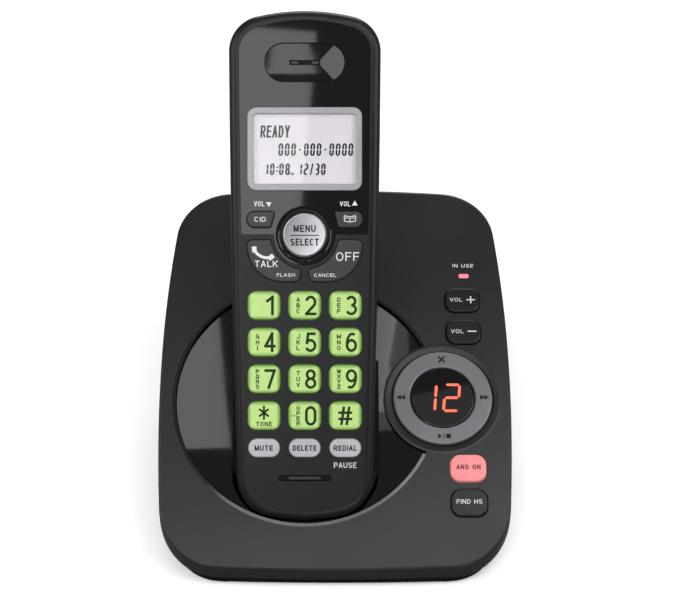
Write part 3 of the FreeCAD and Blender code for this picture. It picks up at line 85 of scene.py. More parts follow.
# %% A socket with operators
class Flow:
    """One output socket of a material, or only its tree where there is no socket yet."""

    def __init__(self, tree, socket=None):
        self.tree = tree
        self.socket = socket

    def node(self, kind, settings=None, sockets=None, output=0):
        made = self.tree.nodes.new(kind)
        for key, value in (settings or {}).items():
            setattr(made, key, value)
        for key, value in (sockets or {}).items():
            self.feed(made.inputs[key], value)
        return Flow(self.tree, made.outputs[output])

    def feed(self, target, value):
        if isinstance(value, Flow):
            self.tree.links.new(value.socket, target)
        else:
            target.default_value = value

    def show(self):
        """Makes this shader the one that the material's output shows."""
        self.feed(self.tree.nodes["Material Output"].inputs["Surface"], self)

    def math(self, operation, *values):
        return self.node("ShaderNodeMath", {"operation": operation}, dict(enumerate(values)))

    def __add__(self, other):
        return self.math("ADD", self, other)

    def __sub__(self, other):
        return self.math("SUBTRACT", self, other)

    def __mul__(self, other):
        return self.math("MULTIPLY", self, other)

    def __rsub__(self, other):
        return self.math("SUBTRACT", other, self)

    __radd__ = __add__
    __rmul__ = __mul__

    def step(self, low, high):
        """0 below low, 1 above high, smooth between."""
        sockets = {"Value": self, "From Min": low, "From Max": high}
        return self.node("ShaderNodeMapRange", {"interpolation_type": "SMOOTHSTEP"}, sockets)

    def blend(self, low, high):
        """A colour between two, by this value. A Mix node keeps its colours at sockets 6 and 7."""
        return self.node("ShaderNodeMix", {"data_type": "RGBA"}, {0: self, 6: low, 7: high}, output=2)


def rgb(red, green, blue):
    return (red, green, blue, 1.0)


def own_place(tree):
    """The coordinates of the piece itself, so that a pattern stays on it when a joint moves it."""
    return Flow(tree).node("ShaderNodeTexCoord", output="Object")


def new_material(name):
    material = bpy.data.materials.new(name)
    material.use_nodes = True
    return material, own_place(material.node_tree)


print("a socket takes +, - and *, and has step and blend")

# %% [markdown]
# Most of this object is injection-moulded plastic. A satin moulding has a fine spark-eroded grain that
# breaks up its gloss, and long soft patches where hands have polished it; a glossy one is nearly a mirror
# with faint wipe marks. One recipe covers them: grain in the bump, patches in the roughness, and a little
# of both in the colour.

# %% Moulded finishes
PATCH_SCALE = 55.0
PATCH_EDGES = (0.3, 0.75)
PATCH_SHARE, GRAIN_SHARE = 0.7, 0.3
GRAIN_ROUGHNESS = 0.1


def moulded(
    name, colour, rough, grain=0.35, depth=0.08, patches=0.12, metallic=0.0, glow=None, power=0.0, tone=0.86,
    shine=0.5,
):
    """Plastic or paint: grain and depth in millimetres, patches as a share of the roughness."""
    material, place = new_material(name)
    shader = place.tree.nodes["Principled BSDF"]
    grains = {"Vector": place, "Scale": 1 / (grain * MM), "Detail": 2.0}
    fine = place.node("ShaderNodeTexNoise", sockets=grains)
    soft = place.node(
        "ShaderNodeTexNoise", sockets={"Vector": place, "Scale": PATCH_SCALE, "Detail": 4.0, "Roughness": 0.6}
    )
    wear = soft.step(*PATCH_EDGES)
    darker = rgb(*[share * tone for share in colour])
    shade = (wear * PATCH_SHARE + fine * GRAIN_SHARE).blend(darker, rgb(*colour))
    even = rough * (0.95 - patches / 2)
    place.feed(shader.inputs["Base Color"], shade)
    place.feed(shader.inputs["Roughness"], wear * (rough * patches) + fine * (rough * GRAIN_ROUGHNESS) + even)
    bump = place.node("ShaderNodeBump", sockets={"Strength": 0.5, "Distance": depth * MM, "Height": fine})
    place.feed(shader.inputs["Normal"], bump)
    shader.inputs["Metallic"].default_value = metallic
    shader.inputs["Specular IOR Level"].default_value = shine
    if glow:
        shader.inputs["Emission Color"].default_value = rgb(*glow)
        shader.inputs["Emission Strength"].default_value = power
    return material


FINISHES = {
    "satin_black": moulded(
        "satin_black_moulding", (0.0115, 0.0118, 0.0135), 0.38, grain=0.30, depth=0.010, shine=0.36
    ),
    "gloss_black": moulded(
        "gloss_black_moulding", (0.004, 0.004, 0.0045), 0.04, grain=3.0, depth=0.001, patches=0.5
    ),
    "key_black": moulded("dark_key_moulding", (0.010, 0.010, 0.012), 0.33, depth=0.008, shine=0.26),
    "key_red": moulded(
        "lit_red_key", (0.72, 0.21, 0.22), 0.34, grain=0.5, depth=0.005, glow=(1.0, 0.30, 0.30), power=0.18
    ),
    "ring_grey": moulded("ring_paint", (0.165, 0.165, 0.178), 0.34, grain=0.25, depth=0.006, metallic=0.3),
    "key_grey": moulded(
        "pale_key_moulding", (0.40, 0.40, 0.425), 0.34, grain=0.4, depth=0.005, glow=(0.8, 0.8, 0.84),
        power=0.08,
    ),
    "key_silver": moulded(
        "silver_key_paint", (0.375, 0.375, 0.395), 0.30, grain=0.2, depth=0.0012, metallic=0.85
    ),
    "bezel_silver": moulded("bezel_paint", (0.32, 0.31, 0.33), 0.34, grain=0.2, depth=0.0015, metallic=0.35),
    "inner_black": moulded("inner_moulding", (0.008, 0.008, 0.008), 0.55, grain=0.5, depth=0.02),
    "window_tint": moulded(
        "window_tint", (0.003, 0.0025, 0.0025), 0.03, grain=3.0, depth=0.0005, patches=0.4
    ),
    "lcd_grey": moulded(
        "display_glass", (0.42, 0.40, 0.43), 0.5, grain=0.3, depth=0.001, glow=(0.92, 0.87, 0.92), power=0.34
    ),
    "lamp_red": moulded("lamp_moulding", (0.8, 0.2, 0.25), 0.25, glow=(1.0, 0.20, 0.24), power=0.7),
    "board_green": moulded("board_mask", (0.01, 0.09, 0.04), 0.35, grain=0.8, depth=0.03),
    "mat_rubber": moulded("rubber", (0.010, 0.010, 0.011), 0.75, grain=0.4, depth=0.03),
    "steel": moulded("plated_steel", (0.52, 0.51, 0.48), 0.32, grain=0.15, depth=0.01, metallic=1.0),
    "contact_metal": moulded(
        "contact_plating", (0.72, 0.68, 0.58), 0.22, grain=0.15, depth=0.006, metallic=1.0
    ),
    "battery_wrap": moulded("battery_film", (0.02, 0.08, 0.24), 0.22, grain=2.0, depth=0.02),
}
# Near-black and nearly unreflecting: painted shade, laid in the slots and the well round the round key.
recess_shade_black = moulded("painted_recess_shade", (0.002, 0.002, 0.002), 0.45, grain=0.4, depth=0.01, shine=0.12)
polished_edge = moulded("polished_edge", (0.012, 0.012, 0.014), 0.13, grain=1.0, depth=0.001, patches=0.4)
shell_black = moulded(
    "handset_shell_moulding", (0.0088, 0.0090, 0.0102), 0.34, grain=0.30, depth=0.008, shine=0.25
)
grey_key = moulded("handset_key_moulding", (0.034, 0.034, 0.038), 0.33, depth=0.008, shine=0.32)
print("finishes by slot:", len(FINISHES), "and four for single pieces")

# %% [markdown]
# The lens over the display is clear polycarbonate. Real refraction would hide the display behind noise, and
# the sheet is too thin to bend what is seen, so the finish lets light straight through and mixes in a small
# share of a mirror, which is all that a clear sheet gives back.

# %% Clear lens
MIRROR_SHARE = 0.035
WIPE_SHARE = 0.004
WIPE_DEPTH = 0.0005


def clear_lens():
    material, place = new_material("clear_lens")
    place.tree.nodes.remove(place.tree.nodes["Principled BSDF"])
    wipes = place.node("ShaderNodeTexNoise", sockets={"Vector": place, "Scale": 70.0, "Detail": 3.0})
    bump = place.node(
        "ShaderNodeBump", sockets={"Strength": 0.2, "Distance": WIPE_DEPTH * MM, "Height": wipes}
    )
    through = place.node("ShaderNodeBsdfTransparent")
    mirror = place.node(
        "ShaderNodeBsdfPrincipled",
        sockets={"Base Color": rgb(0.9, 0.9, 0.9), "Metallic": 1.0, "Roughness": 0.03, "Normal": bump},
    )
    share = wipes * WIPE_SHARE + (MIRROR_SHARE - WIPE_SHARE / 2)
    place.node("ShaderNodeMixShader", sockets={0: share, 1: through, 2: mirror}).show()
    return material


FINISHES["lens_clear"] = clear_lens()
print("lens mirrors", MIRROR_SHARE, "of what it faces")

# %% [markdown]
# The digit keys are translucent and lit from behind, so their rims look greener than their middles. The
# keys stand on a regular grid, so one mask made from the handset's own coordinates, wrapped to one pitch,
# finds the rim of every key.

# %% Lit digit keys
KEY_PITCH = (13.0, 11.76)
FIRST_ROW = 68.9
RIM_ACROSS, RIM_ALONG = (3.7, 5.25), (3.1, 4.6)
WHOLE_PITCHES = 20


def from_key_middle(value, pitch, start):
    """The distance from the middle of the nearest key; whole pitches keep the wrapped number above zero."""
    turns = (value - start) * (1 / pitch) + (WHOLE_PITCHES + 0.5)
    return value.math("ABSOLUTE", (value.math("FRACT", turns) - 0.5) * pitch)


def lit_keys():
    material = moulded("lit_key_moulding", (0.55, 0.80, 0.42), 0.32, grain=0.5, depth=0.006)
    shader = material.node_tree.nodes["Principled BSDF"]
    place = own_place(material.node_tree)
    x, y, z = [place.node("ShaderNodeSeparateXYZ", sockets={0: place}, output=axis) for axis in range(3)]
    across = x * (1 / MM) - FOOT.x
    along = (y * UP_HANDSET.y + z * UP_HANDSET.z) * (1 / MM) - FOOT.dot(UP_HANDSET)
    side = from_key_middle(across, KEY_PITCH[0], 0.0).step(*RIM_ACROSS)
    end = from_key_middle(along, KEY_PITCH[1], FIRST_ROW).step(*RIM_ALONG)
    rim = place.math("MAXIMUM", side, end)
    place.feed(shader.inputs["Base Color"], rim.blend(rgb(0.36, 0.52, 0.155), rgb(0.11, 0.22, 0.03)))
    place.feed(shader.inputs["Emission Color"], rim.blend(rgb(0.50, 0.75, 0.26), rgb(0.10, 0.25, 0.03)))
    shader.inputs["Emission Strength"].default_value = 0.24
    return material


FINISHES["key_glow"] = lit_keys()
print("key pitch:", KEY_PITCH)

# %% [markdown]
# The lower housing is the same plastic from a blasted mould, duller; its colour is also darker than the
# top's, painted shade for the little light that reaches it from below, so it sinks back under the glossy
# parts. The record of each CAD node names its material slot, and the slot names the finish. A few nodes
# have their own.

# %% Put the finishes on the CAD nodes
# Partly a duller blasted finish, partly painted shade: darker than the top to stand for the shade below.
blasted_and_shaded = moulded("blasted_shaded_black", (0.0050, 0.0052, 0.0062), 0.52, depth=0.02, shine=0.08)
slot_of = {part["node"]: part["material_slot"] for part in frame["record"]["subparts"]}
SPECIAL = {
    "base_lower_housing": blasted_and_shaded, "handset_front_shell": shell_black, "handset_back_shell": shell_black,
    "battery_door": shell_black, "talk_key": grey_key, "off_key": grey_key, "caller_id_key": grey_key,
    "directory_key": grey_key,
}
for name, node in nodes.items():
    for place in node.material_slots:
        place.material = SPECIAL.get(name) or FINISHES[slot_of[name]]
print("finished nodes:", sum(name in slot_of for name in nodes))

# %% [markdown]
# Legends on keys and shells are pad printed: a film of ink a few hundredths of a millimetre thick. Every
# ink is the plain recipe with hardly any grain. A piece drawn in millimetres is moved to its place in its
# own mesh, so its object stays at the origin, and it is told which body carries it and which finish slot it
# belongs to.

# %% Inks and the last step of every piece
white_ink = moulded("white_ink", (0.78, 0.78, 0.78), 0.5, depth=0.001)
dark_ink = moulded("dark_ink", (0.010, 0.010, 0.012), 0.6, depth=0.001, shine=0.2)
green_ink = moulded("green_ink", (0.012, 0.030, 0.006), 0.6, depth=0.001, shine=0.2)
red_ink = moulded("red_ink", (0.12, 0.020, 0.020), 0.6, depth=0.001, shine=0.2)
lcd_ink = moulded("display_ink", (0.006, 0.006, 0.012), 0.6, depth=0.001, shine=0.2)
INK = 0.03
IN_MILLIMETRES = Matrix.Diagonal((MM, MM, MM, 1))


def settle(made, name, place, body, material):
    """Moves a mesh's points to its place, leaves the object at the origin, and says what carries it."""
    made.name = name
    made.data.name = name
    made.matrix_world = Matrix.Identity(4)
    made.data.transform(place)
    made.data.materials.clear()
    made.data.materials.append(material)
    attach(made, body)
    return made


def from_bmesh(bm):
    data = bpy.data.meshes.new("made")
    bm.to_mesh(data)
    bm.free()
    made = bpy.data.objects.new("made", data)
    bpy.context.scene.collection.objects.link(made)
    return made


print("inks: 5, each", INK, "mm thick")

# %% [markdown]
# Blender's own lettering is narrower and wavier than the plain signs on such keys. These letters are drawn
# as an engraver's plate draws them: each is a few straight strokes and arcs of one width, in a box from 0
# to 1. A straight stroke is a thin block; an arc is one short edge spun round a centre. Each stroke stands
# a little higher than the one before it, so that no two tops share a plane where they cross.

# %% Bars, triangles, lines and arcs
ARC_STEP = 20
STROKE_RISE = 0.02


def bar(bm, x, y, width, height, turn=0.0, slant=0.0):
    """A flat bar, given in millimetres by its middle and its size."""
    place = Matrix.Translation((x, y, 0)) @ Matrix.Rotation(math.radians(turn), 4, "Z")
    shear = Matrix.Identity(4)
    shear[0][1] = slant
    bmesh.ops.create_cube(bm, size=1.0, matrix=place @ shear @ Matrix.Diagonal((width, height, INK, 1)))


def thicken(bm, verts, height):
    """Raises the flat faces round these points into a closed block."""
    faces = list({f for v in verts for f in v.link_faces})
    raised = bmesh.ops.extrude_face_region(bm, geom=faces, use_keep_orig=True)
    tops = [v for v in raised["geom"] if isinstance(v, bmesh.types.BMVert)]
    bmesh.ops.translate(bm, verts=tops, vec=(0, 0, height))


def wedge(bm, x, y, size, turn):
    """A flat triangle that points along its turn."""
    place = Matrix.Translation((x, y, 0)) @ Matrix.Rotation(math.radians(turn - 90), 4, "Z")
    ring = bmesh.ops.create_circle(bm, cap_ends=True, radius=size, segments=3, matrix=place)
    thicken(bm, ring["verts"], INK)
    bmesh.ops.recalc_face_normals(bm, faces=bm.faces)


def line(bm, x0, y0, x1, y1, stroke, top):
    """A straight stroke with square ends, half a stroke past each point."""
    long = math.hypot(x1 - x0, y1 - y0)
    place = Matrix.Translation(((x0 + x1) / 2, (y0 + y1) / 2, top / 2))
    place = place @ Matrix.Rotation(math.atan2(y1 - y0, x1 - x0), 4, "Z")
    bmesh.ops.create_cube(bm, size=1.0, matrix=place @ Matrix.Diagonal((long + stroke, stroke, top, 1)))


def sweep(bm, x, y, across, up, start, end, stroke, top):
    """An arc of constant width: an edge from radius 1 to 2 is spun, then drawn in to the arc's two edges."""
    ends = [bm.verts.new((1, 0, 0)), bm.verts.new((2, 0, 0))]
    edge = bm.edges.new(ends)
    turn = math.radians(end - start)
    bmesh.ops.rotate(bm, verts=ends, cent=(0, 0, 0), matrix=Matrix.Rotation(math.radians(start), 3, "Z"))
    before = set(bm.verts)
    bmesh.ops.spin(
        bm, geom=ends + [edge], cent=(0, 0, 0), axis=(0, 0, 1), angle=turn,
        steps=max(3, round(abs(end - start) / ARC_STEP)), use_merge=abs(end - start) >= 360,
    )
    spun = [v for v in bm.verts if v not in before] + ends
    for v in spun:
        ray = v.co.normalized()
        side = stroke / 2 if v.co.length > 1.5 else -stroke / 2
        v.co = Vector((x + ray.x * (across + side), y + ray.y * (up + side), 0))
    thicken(bm, spun, top)


print("an arc turns", ARC_STEP, "degrees a step")

# %% [markdown]
# The alphabet is a small table. Four numbers are a line from point to point; six are an arc, as its centre,
# its two radii and the angles where it starts and ends. Narrow and wide letters get their own share of a
# word.

# %% The letters
BOWL = (0.5, 0.5, 0.5, 0.5)
LEFT_POST = (0, 0, 0, 1)
RIGHT_POST = (1, 0, 1, 1)
LETTERS = {
    "A": [(0, 0, 0.5, 1), (1, 0, 0.5, 1), (0.2, 0.34, 0.8, 0.34)],
    "B": [
        LEFT_POST, (0, 1, 0.6, 1), (0, 0.53, 0.6, 0.53), (0, 0, 0.6, 0),
        (0.6, 0.765, 0.34, 0.235, 90, -90), (0.6, 0.265, 0.4, 0.265, 90, -90),
    ],
    "C": [(*BOWL, 42, 318)],
    "D": [LEFT_POST, (0, 1, 0.45, 1), (0, 0, 0.45, 0), (0.45, 0.5, 0.55, 0.5, 90, -90)],
    "E": [LEFT_POST, (0, 1, 1, 1), (0, 0.52, 0.9, 0.52), (0, 0, 1, 0)],
    "F": [LEFT_POST, (0, 1, 1, 1), (0, 0.52, 0.88, 0.52)],
    "G": [(*BOWL, 42, 345), (0.55, 0.46, 1, 0.46), (1, 0.46, 1, 0.03)],
    "H": [LEFT_POST, RIGHT_POST, (0, 0.52, 1, 0.52)],
    "I": [(0.5, 0, 0.5, 1)],
    "J": [(1, 0.28, 1, 1), (0.5, 0.28, 0.5, 0.28, 180, 360)],
    "K": [LEFT_POST, (1, 1, 0, 0.36), (0.34, 0.6, 1, 0)],
    "L": [LEFT_POST, (0, 0, 1, 0)],
    "M": [LEFT_POST, RIGHT_POST, (0, 1, 0.5, 0.05), (1, 1, 0.5, 0.05)],
    "N": [LEFT_POST, RIGHT_POST, (0, 1, 1, 0)],
    "O": [(*BOWL, 0, 360)],
    "P": [LEFT_POST, (0, 1, 0.6, 1), (0, 0.46, 0.6, 0.46), (0.6, 0.73, 0.4, 0.27, 90, -90)],
    "Q": [(*BOWL, 0, 360), (0.6, 0.25, 1, 0)],
    "R": [
        LEFT_POST, (0, 1, 0.6, 1), (0, 0.48, 0.6, 0.48), (0.6, 0.74, 0.4, 0.26, 90, -90),
        (0.6, 0.48, 1, 0),
    ],
    "S": [(0.5, 0.745, 0.46, 0.255, 25, 270), (0.5, 0.245, 0.5, 0.245, 90, -155)],
    "T": [(0.5, 0, 0.5, 1), (0, 1, 1, 1)],
    "U": [(0, 0.3, 0, 1), (1, 0.3, 1, 1), (0.5, 0.3, 0.5, 0.3, 180, 360)],
    "V": [(0, 1, 0.5, 0), (1, 1, 0.5, 0)],
    "W": [(0, 1, 0.27, 0), (0.27, 0, 0.5, 0.95), (0.5, 0.95, 0.73, 0), (0.73, 0, 1, 1)],
    "X": [(0, 0, 1, 1), (0, 1, 1, 0)],
    "Y": [(0, 1, 0.5, 0.45), (1, 1, 0.5, 0.45), (0.5, 0, 0.5, 0.45)],
    "Z": [(0, 1, 1, 1), (1, 1, 0, 0), (0, 0, 1, 0)],
    "0": [
        (0, 0.3, 0, 0.7), (1, 0.3, 1, 0.7), (0.5, 0.7, 0.5, 0.3, 0, 180), (0.5, 0.3, 0.5, 0.3, 180, 360),
    ],
    "1": [(0.78, 0, 0.78, 1), (0.78, 0.98, 0.2, 0.77)],
    "2": [(0.5, 0.7, 0.5, 0.3, 165, -42), (0.87, 0.5, 0.03, 0.03), (0, 0, 1, 0)],
    "3": [(0.48, 0.755, 0.46, 0.245, 160, -90), (0.48, 0.26, 0.52, 0.26, 90, -158)],
    "4": [(0.74, 0, 0.74, 1), (0.74, 1, 0, 0.29), (0, 0.27, 1, 0.27)],
    "5": [(0.92, 1, 0.2, 1), (0.2, 1, 0.07, 0.47), (0.47, 0.31, 0.53, 0.31, 148, -155)],
    "6": [(0.5, 0.31, 0.5, 0.31, 0, 360), (0.6, 0.42, 0.6, 0.58, 180, 62), (0, 0.42, 0, 0.31)],
    "7": [(0, 1, 1, 1), (1, 0.98, 0.36, 0)],
    "8": [(0.5, 0.76, 0.43, 0.24, 0, 360), (0.5, 0.26, 0.5, 0.26, 0, 360)],
    "9": [(0.5, 0.69, 0.5, 0.31, 0, 360), (0.4, 0.58, 0.6, 0.58, 0, -118), (1, 0.58, 1, 0.69)],
}
WIDTHS = {
    "I": 0.02, "M": 1.2, "W": 1.35, "J": 0.75, "L": 0.8, "E": 0.86, "F": 0.84, "T": 0.95, " ": 0.35, "O": 1.1,
    "C": 1.05,
}
LETTER_GAP = 0.34


def glyph(bm, sign, x, y, width, height, stroke):
    """One letter whose box, ink included, is centred at x, y."""
    w, h = max(width - stroke, 0), height - stroke
    left, low = x - w / 2, y - h / 2
    for count, part in enumerate(LETTERS[sign]):
        top = INK * (1 + STROKE_RISE * count)
        if len(part) == 4:
            x0, y0, x1, y1 = part
            line(bm, left + x0 * w, low + y0 * h, left + x1 * w, low + y1 * h, stroke, top)
        else:
            cx, cy, rx, ry, start, end = part
            sweep(bm, left + cx * w, low + cy * h, rx * w, ry * h, start, end, stroke, top)


def word(bm, letters, x, y, width, height, stroke):
    """A line of letters, centred, fitted to a width."""
    shares = [WIDTHS.get(letter, 1.0) for letter in letters]
    left_over = width - stroke * len(letters)
    unit = left_over / (sum(shares) + LETTER_GAP * (len(letters) - 1))
    at = x - width / 2
    for letter, share in zip(letters, shares):
        wide = share * unit + stroke
        if letter != " ":
            glyph(bm, letter, at + wide / 2, y, wide, height, stroke)
        at += wide + LETTER_GAP * unit


def legend(name, parts, place, body, material, stroke=0.16, bend=None):
    """Words and signs on one surface: (letters, x, y, width, height, stroke's share) or drawing functions."""
    bm = bmesh.new()
    for part in parts:
        if callable(part):
            part(bm)
        else:
            letters, x, y, width, height = part[:5]
            share = part[5] if len(part) > 5 else stroke
            word(bm, letters, x, y, width, height, share * height)
    bmesh.ops.recalc_face_normals(bm, faces=bm.faces)
    if bend:
        for v in bm.verts:
            v.co.z += bend(v.co.x, v.co.y)
    settle(from_bmesh(bm), name, place @ IN_MILLIMETRES, body, material)


print("letters and figures:", len(LETTERS))

# %% [markdown]
# The twelve digit keys carry a tall, narrow numeral on the right and their letters stacked in a column on
# the left. Star, zero and pound break the pattern, so each key's legend is a short list of words with
# places.

# %% Legends of the digit keys
KEY_FACE = 0.70
NUMERAL_BOX = (1.95, 0, 3.65, 6.3)
NUMERAL_STROKE = 0.88
COLUMN_ACROSS = -2.05
COLUMN_STROKE = 0.30
COLUMN_WIDTHS = {"I": 0.3, "W": 1.5, "M": 1.4}
DIGITS = {
    "one": ("1", ""), "two": ("2", "ABC"), "three": ("3", "DEF"), "four": ("4", "GHI"), "five": ("5", "JKL"),
    "six": ("6", "MNO"), "seven": ("7", "PQRS"), "eight": ("8", "TUV"), "nine": ("9", "WXYZ"), "star": None,
    "zero": ("0", "OPER"), "pound": None,
}


def key_centre(index):
    row, column = divmod(index, 3)
    return KEY_PITCH[0] * (column - 1), FIRST_ROW - KEY_PITCH[1] * row


def star(bm):
    for turn, length in ((0, 4.4), (52, 3.9), (128, 3.9)):
        bar(bm, 0, 1.0, 0.66, length, turn=turn)


def pound(bm):
    for x in (-0.85, 0.85):
        bar(bm, x, 0, 0.85, 5.9, slant=0.14)
    for y in (-1.0, 1.0):
        bar(bm, 0, y, 4.5, 0.78)


def zero_mark(bm):
    bar(bm, -3.7, 0, 1.2, 0.2)
    bar(bm, -3.2, 0, 0.2, 0.7)


def column(bm, letters):
    """Letters one under the other; four of them stand closer than three."""
    pitch, tall = (1.62, 1.38) if len(letters) > 3 else (1.86, 1.45)
    for i, letter in enumerate(letters):
        up = pitch * ((len(letters) - 1) / 2 - i)
        glyph(bm, letter, COLUMN_ACROSS, up, COLUMN_WIDTHS.get(letter, 1.15), tall, COLUMN_STROKE)


def digit_parts(name):
    if name == "star":
        return [star, ("TONE", 0, -2.6, 5.1, 1.45, 0.2)]
    if name == "pound":
        return [pound]
    numeral, letters = DIGITS[name]
    parts = [lambda bm: glyph(bm, numeral, *NUMERAL_BOX, NUMERAL_STROKE)]
    if name == "zero":
        parts.append(zero_mark)
    return parts + [lambda bm: column(bm, letters)]


for index, name in enumerate(DIGITS):
    x, y = key_centre(index)
    key = "key_" + name
    legend(key + "_legend", digit_parts(name), handset_place(x, y, KEY_FACE), key, green_ink)
print("digit legends:", len(DIGITS))

# %% [markdown]
# The function keys say what they do in plain words. A place seen in the picture, in pixels, turns into
# millimetres on the handset's face, because the camera looks straight at that face.

# %% Legends of the function keys
PIXEL = 0.32
PICTURE_WIDTH = 674
PICTURE_MIDDLE = (304.7, 302.0)
CAMERA_UP = 70.0
RECEIVER_TURN = math.radians(-25)
RECEIVER_SIZE = (0.72, 0.66, 1, 1)
PICTURE_SPOTS = {
    "mute_key": (263.9, 447.9), "delete_key": (304.7, 447.9), "redial_key": (345.3, 447.9),
    "caller_id": (260.2, 219.4), "pause": (345.2, 465.2), "talk_sign": (261.3, 256.6), "talk": (266.4, 263.9),
    "flash": (285.9, 275.0), "off": (347.6, 256.7), "cancel": (325.2, 275.2), "directory": (350.0, 219.0),
    "volume_down": (262.6, 203.8), "volume_up": (348.6, 203.8),
}


def picture_place(spot, level=KEY_FACE):
    px, py = PICTURE_SPOTS[spot]
    x = (px - PICTURE_MIDDLE[0]) * PIXEL
    return handset_place(x, CAMERA_UP + (PICTURE_MIDDLE[1] - py) * PIXEL, level)


def face_legend(spot, words, width, height, body, material, level=KEY_FACE, stroke=0.16):
    parts = [(words, 0, 0, width, height)]
    legend(spot + "_legend", parts, picture_place(spot, level), body, material, stroke)


def receiver(bm):
    """The telephone sign: a thick arc with a pad at each end."""
    sweep(bm, 0, 6.2, 6.2, 6.2, 228, 312, 1.35, INK)
    for side in (-1, 1):
        line(bm, side * 3.9, 1.35, side * 4.25, 2.0, 2.1, INK * (1.06 + STROKE_RISE * side))


PALE_KEYS = (("mute_key", "MUTE", 5.9), ("delete_key", "DELETE", 7.6), ("redial_key", "REDIAL", 7.4))
for name, words, width in PALE_KEYS:
    face_legend(name, words, width, 1.75, name, dark_ink, stroke=0.2)
face_legend("caller_id", "CID", 3.7, 1.55, "caller_id_key", white_ink)
face_legend("pause", "PAUSE", 7.2, 1.75, "handset", white_ink, level=0.0, stroke=0.13)
receiver_place = picture_place("talk_sign") @ Matrix.Rotation(RECEIVER_TURN, 4, "Z")
receiver_place = receiver_place @ Matrix.Diagonal(RECEIVER_SIZE)
legend("talk_sign", [receiver], receiver_place, "talk_key", white_ink)
for spot, words, width, height, key, stroke in (
    ("talk", "TALK", 7.3, 2.05, "talk_key", 0.15),
    ("flash", "FLASH", 5.8, 1.1, "talk_key", 0.16),
    ("off", "OFF", 7.4, 2.8, "off_key", 0.125),
    ("cancel", "CANCEL", 7.0, 1.1, "off_key", 0.16),
):
    face_legend(spot, words, width, height, key, white_ink, stroke=stroke)
print("places read from the picture:", len(PICTURE_SPOTS))

# %% [markdown]
# The round key is hollowed like a saucer for the thumb, and it stands in a smooth cove, near-black and
# nearly unreflecting as painted shade for its well. Both are turned shapes, so each is a profile spun full
# circle. The saucer's depth is a function, and the legend on it is bent by the same function, so the ink
# follows the hollow.

# %% Round key and its cove
MENU_UP = 91.5
MENU_LEVEL = 0.40
SAUCER_RADIUS, SAUCER_RISE = 6.3, 0.24
SAUCER_STEPS = 8
TURN_STEPS = 96
SHARP = math.radians(35)


def spun(profile, steps):
    """A closed ring of (radius, height) points, spun full circle."""
    bm = bmesh.new()
    verts = [bm.verts.new((radius, 0, height)) for radius, height in profile]
    edges = [bm.edges.new((verts[i], verts[(i + 1) % len(verts)])) for i in range(len(verts))]
    bmesh.ops.spin(
        bm, geom=verts + edges, cent=(0, 0, 0), axis=(0, 0, 1), angle=2 * math.pi, steps=steps, use_merge=True
    )
    return bm


def turned(name, profile, place, body, material):
    """A turned shape whose points on the axis are merged to one."""
    bm = spun(profile, TURN_STEPS)
    bmesh.ops.remove_doubles(bm, verts=bm.verts, dist=0.0005)
    bmesh.ops.dissolve_degenerate(bm, edges=bm.edges, dist=0.0001)
    bmesh.ops.recalc_face_normals(bm, faces=bm.faces)
    for f in bm.faces:
        f.smooth = True
    for e in bm.edges:
        e.smooth = not (e.is_manifold and e.calc_face_angle() > SHARP)
    settle(from_bmesh(bm), name, place @ IN_MILLIMETRES, body, material)


def saucer(x, y):
    return SAUCER_RISE * (x * x + y * y) / SAUCER_RADIUS**2


rounds = [SAUCER_RADIUS * k / SAUCER_STEPS for k in range(SAUCER_STEPS + 1)]
hollow = [(radius, saucer(radius, 0) + 0.02) for radius in rounds]
hollow += [(6.5, SAUCER_RISE + 0.05), (6.68, SAUCER_RISE + 0.03), (6.8, SAUCER_RISE - 0.05)]
hollow += [(6.86, SAUCER_RISE - 0.16), (6.86, -0.6), (0, -0.6)]
saucer_place = handset_place(0, MENU_UP, MENU_LEVEL)
turned("menu_saucer", hollow, saucer_place, "menu_key", FINISHES["key_silver"])
cove = [(7.12, -0.84), (7.5, -0.80), (7.9, -0.64), (8.25, -0.40), (8.55, -0.12), (8.8, 0.02), (9.05, 0.05)]
cove += [(9.25, 0.03), (9.3, -0.02), (8.85, -0.06), (8.8, -0.88)]
# The cove's near-black, dull finish is painted shade for the well round the key.
turned("menu_cove", cove, handset_place(0, MENU_UP, 0), "handset", recess_shade_black)
menu_words = [("MENU", 0, 2.0, 7.1, 2.2, 0.19), ("SELECT", 0, -2.35, 9.1, 2.3, 0.19)]
legend(
    "menu_legend", menu_words + [lambda bm: bar(bm, 0, -0.2, 9.2, 0.3)],
    handset_place(0, MENU_UP, MENU_LEVEL + 0.02), "menu_key", dark_ink, bend=saucer,
)
print("saucer", SAUCER_RISE, "mm deep, cove profile of", len(cove), "points")

# %% [markdown]
# The directory key has no word but an open book, and the two keys beside the round one also turn the volume
# down and up, so a word and a triangle are printed above each of them.

# %% Signs beside the round key
def open_book(bm):
    """The directory sign: two open pages in outline."""
    for side in (-1, 1):
        bar(bm, side * 0.95, 0.85, 1.75, 0.26, turn=side * 12)
        bar(bm, side * 0.95, -0.85, 1.75, 0.26, turn=side * 12)
        bar(bm, side * 1.78, 0.2, 0.26, 1.9)
        bar(bm, side * 0.95, 0.25, 1.1, 0.2, turn=side * 12)
    bar(bm, 0, -0.15, 0.26, 1.75)


legend("directory_sign", [open_book], picture_place("directory"), "directory_key", white_ink)
for name, way in (("volume_down", -90), ("volume_up", 90)):
    parts = [("VOL", -1.1, 0, 3.3, 1.6), lambda bm: wedge(bm, 2.0, 0.0, 1.05, way)]
    legend(name + "_sign", parts, picture_place(name, 0.0), "handset", white_ink)
print("signs beside the round key: 3")

# %% [markdown]
# Display figures are built from seven bars with pointed ends, the same on the pale display and on the lit
# counter. One bar is a thin block whose upright edges are bevelled until its ends come to a point; a small
# table says which bars make each figure, and a shear makes the whole line lean.

# %% Seven-bar figures
BARS = {"0": "abcdef", "1": "bc", "2": "abged", "3": "abgcd", "8": "abcdefg", "-": "g"}
POINT_SHARE = 0.46
PITCH_SHARE = 1.36
COLON_STEP, SLASH_STEP = 0.48, 0.82


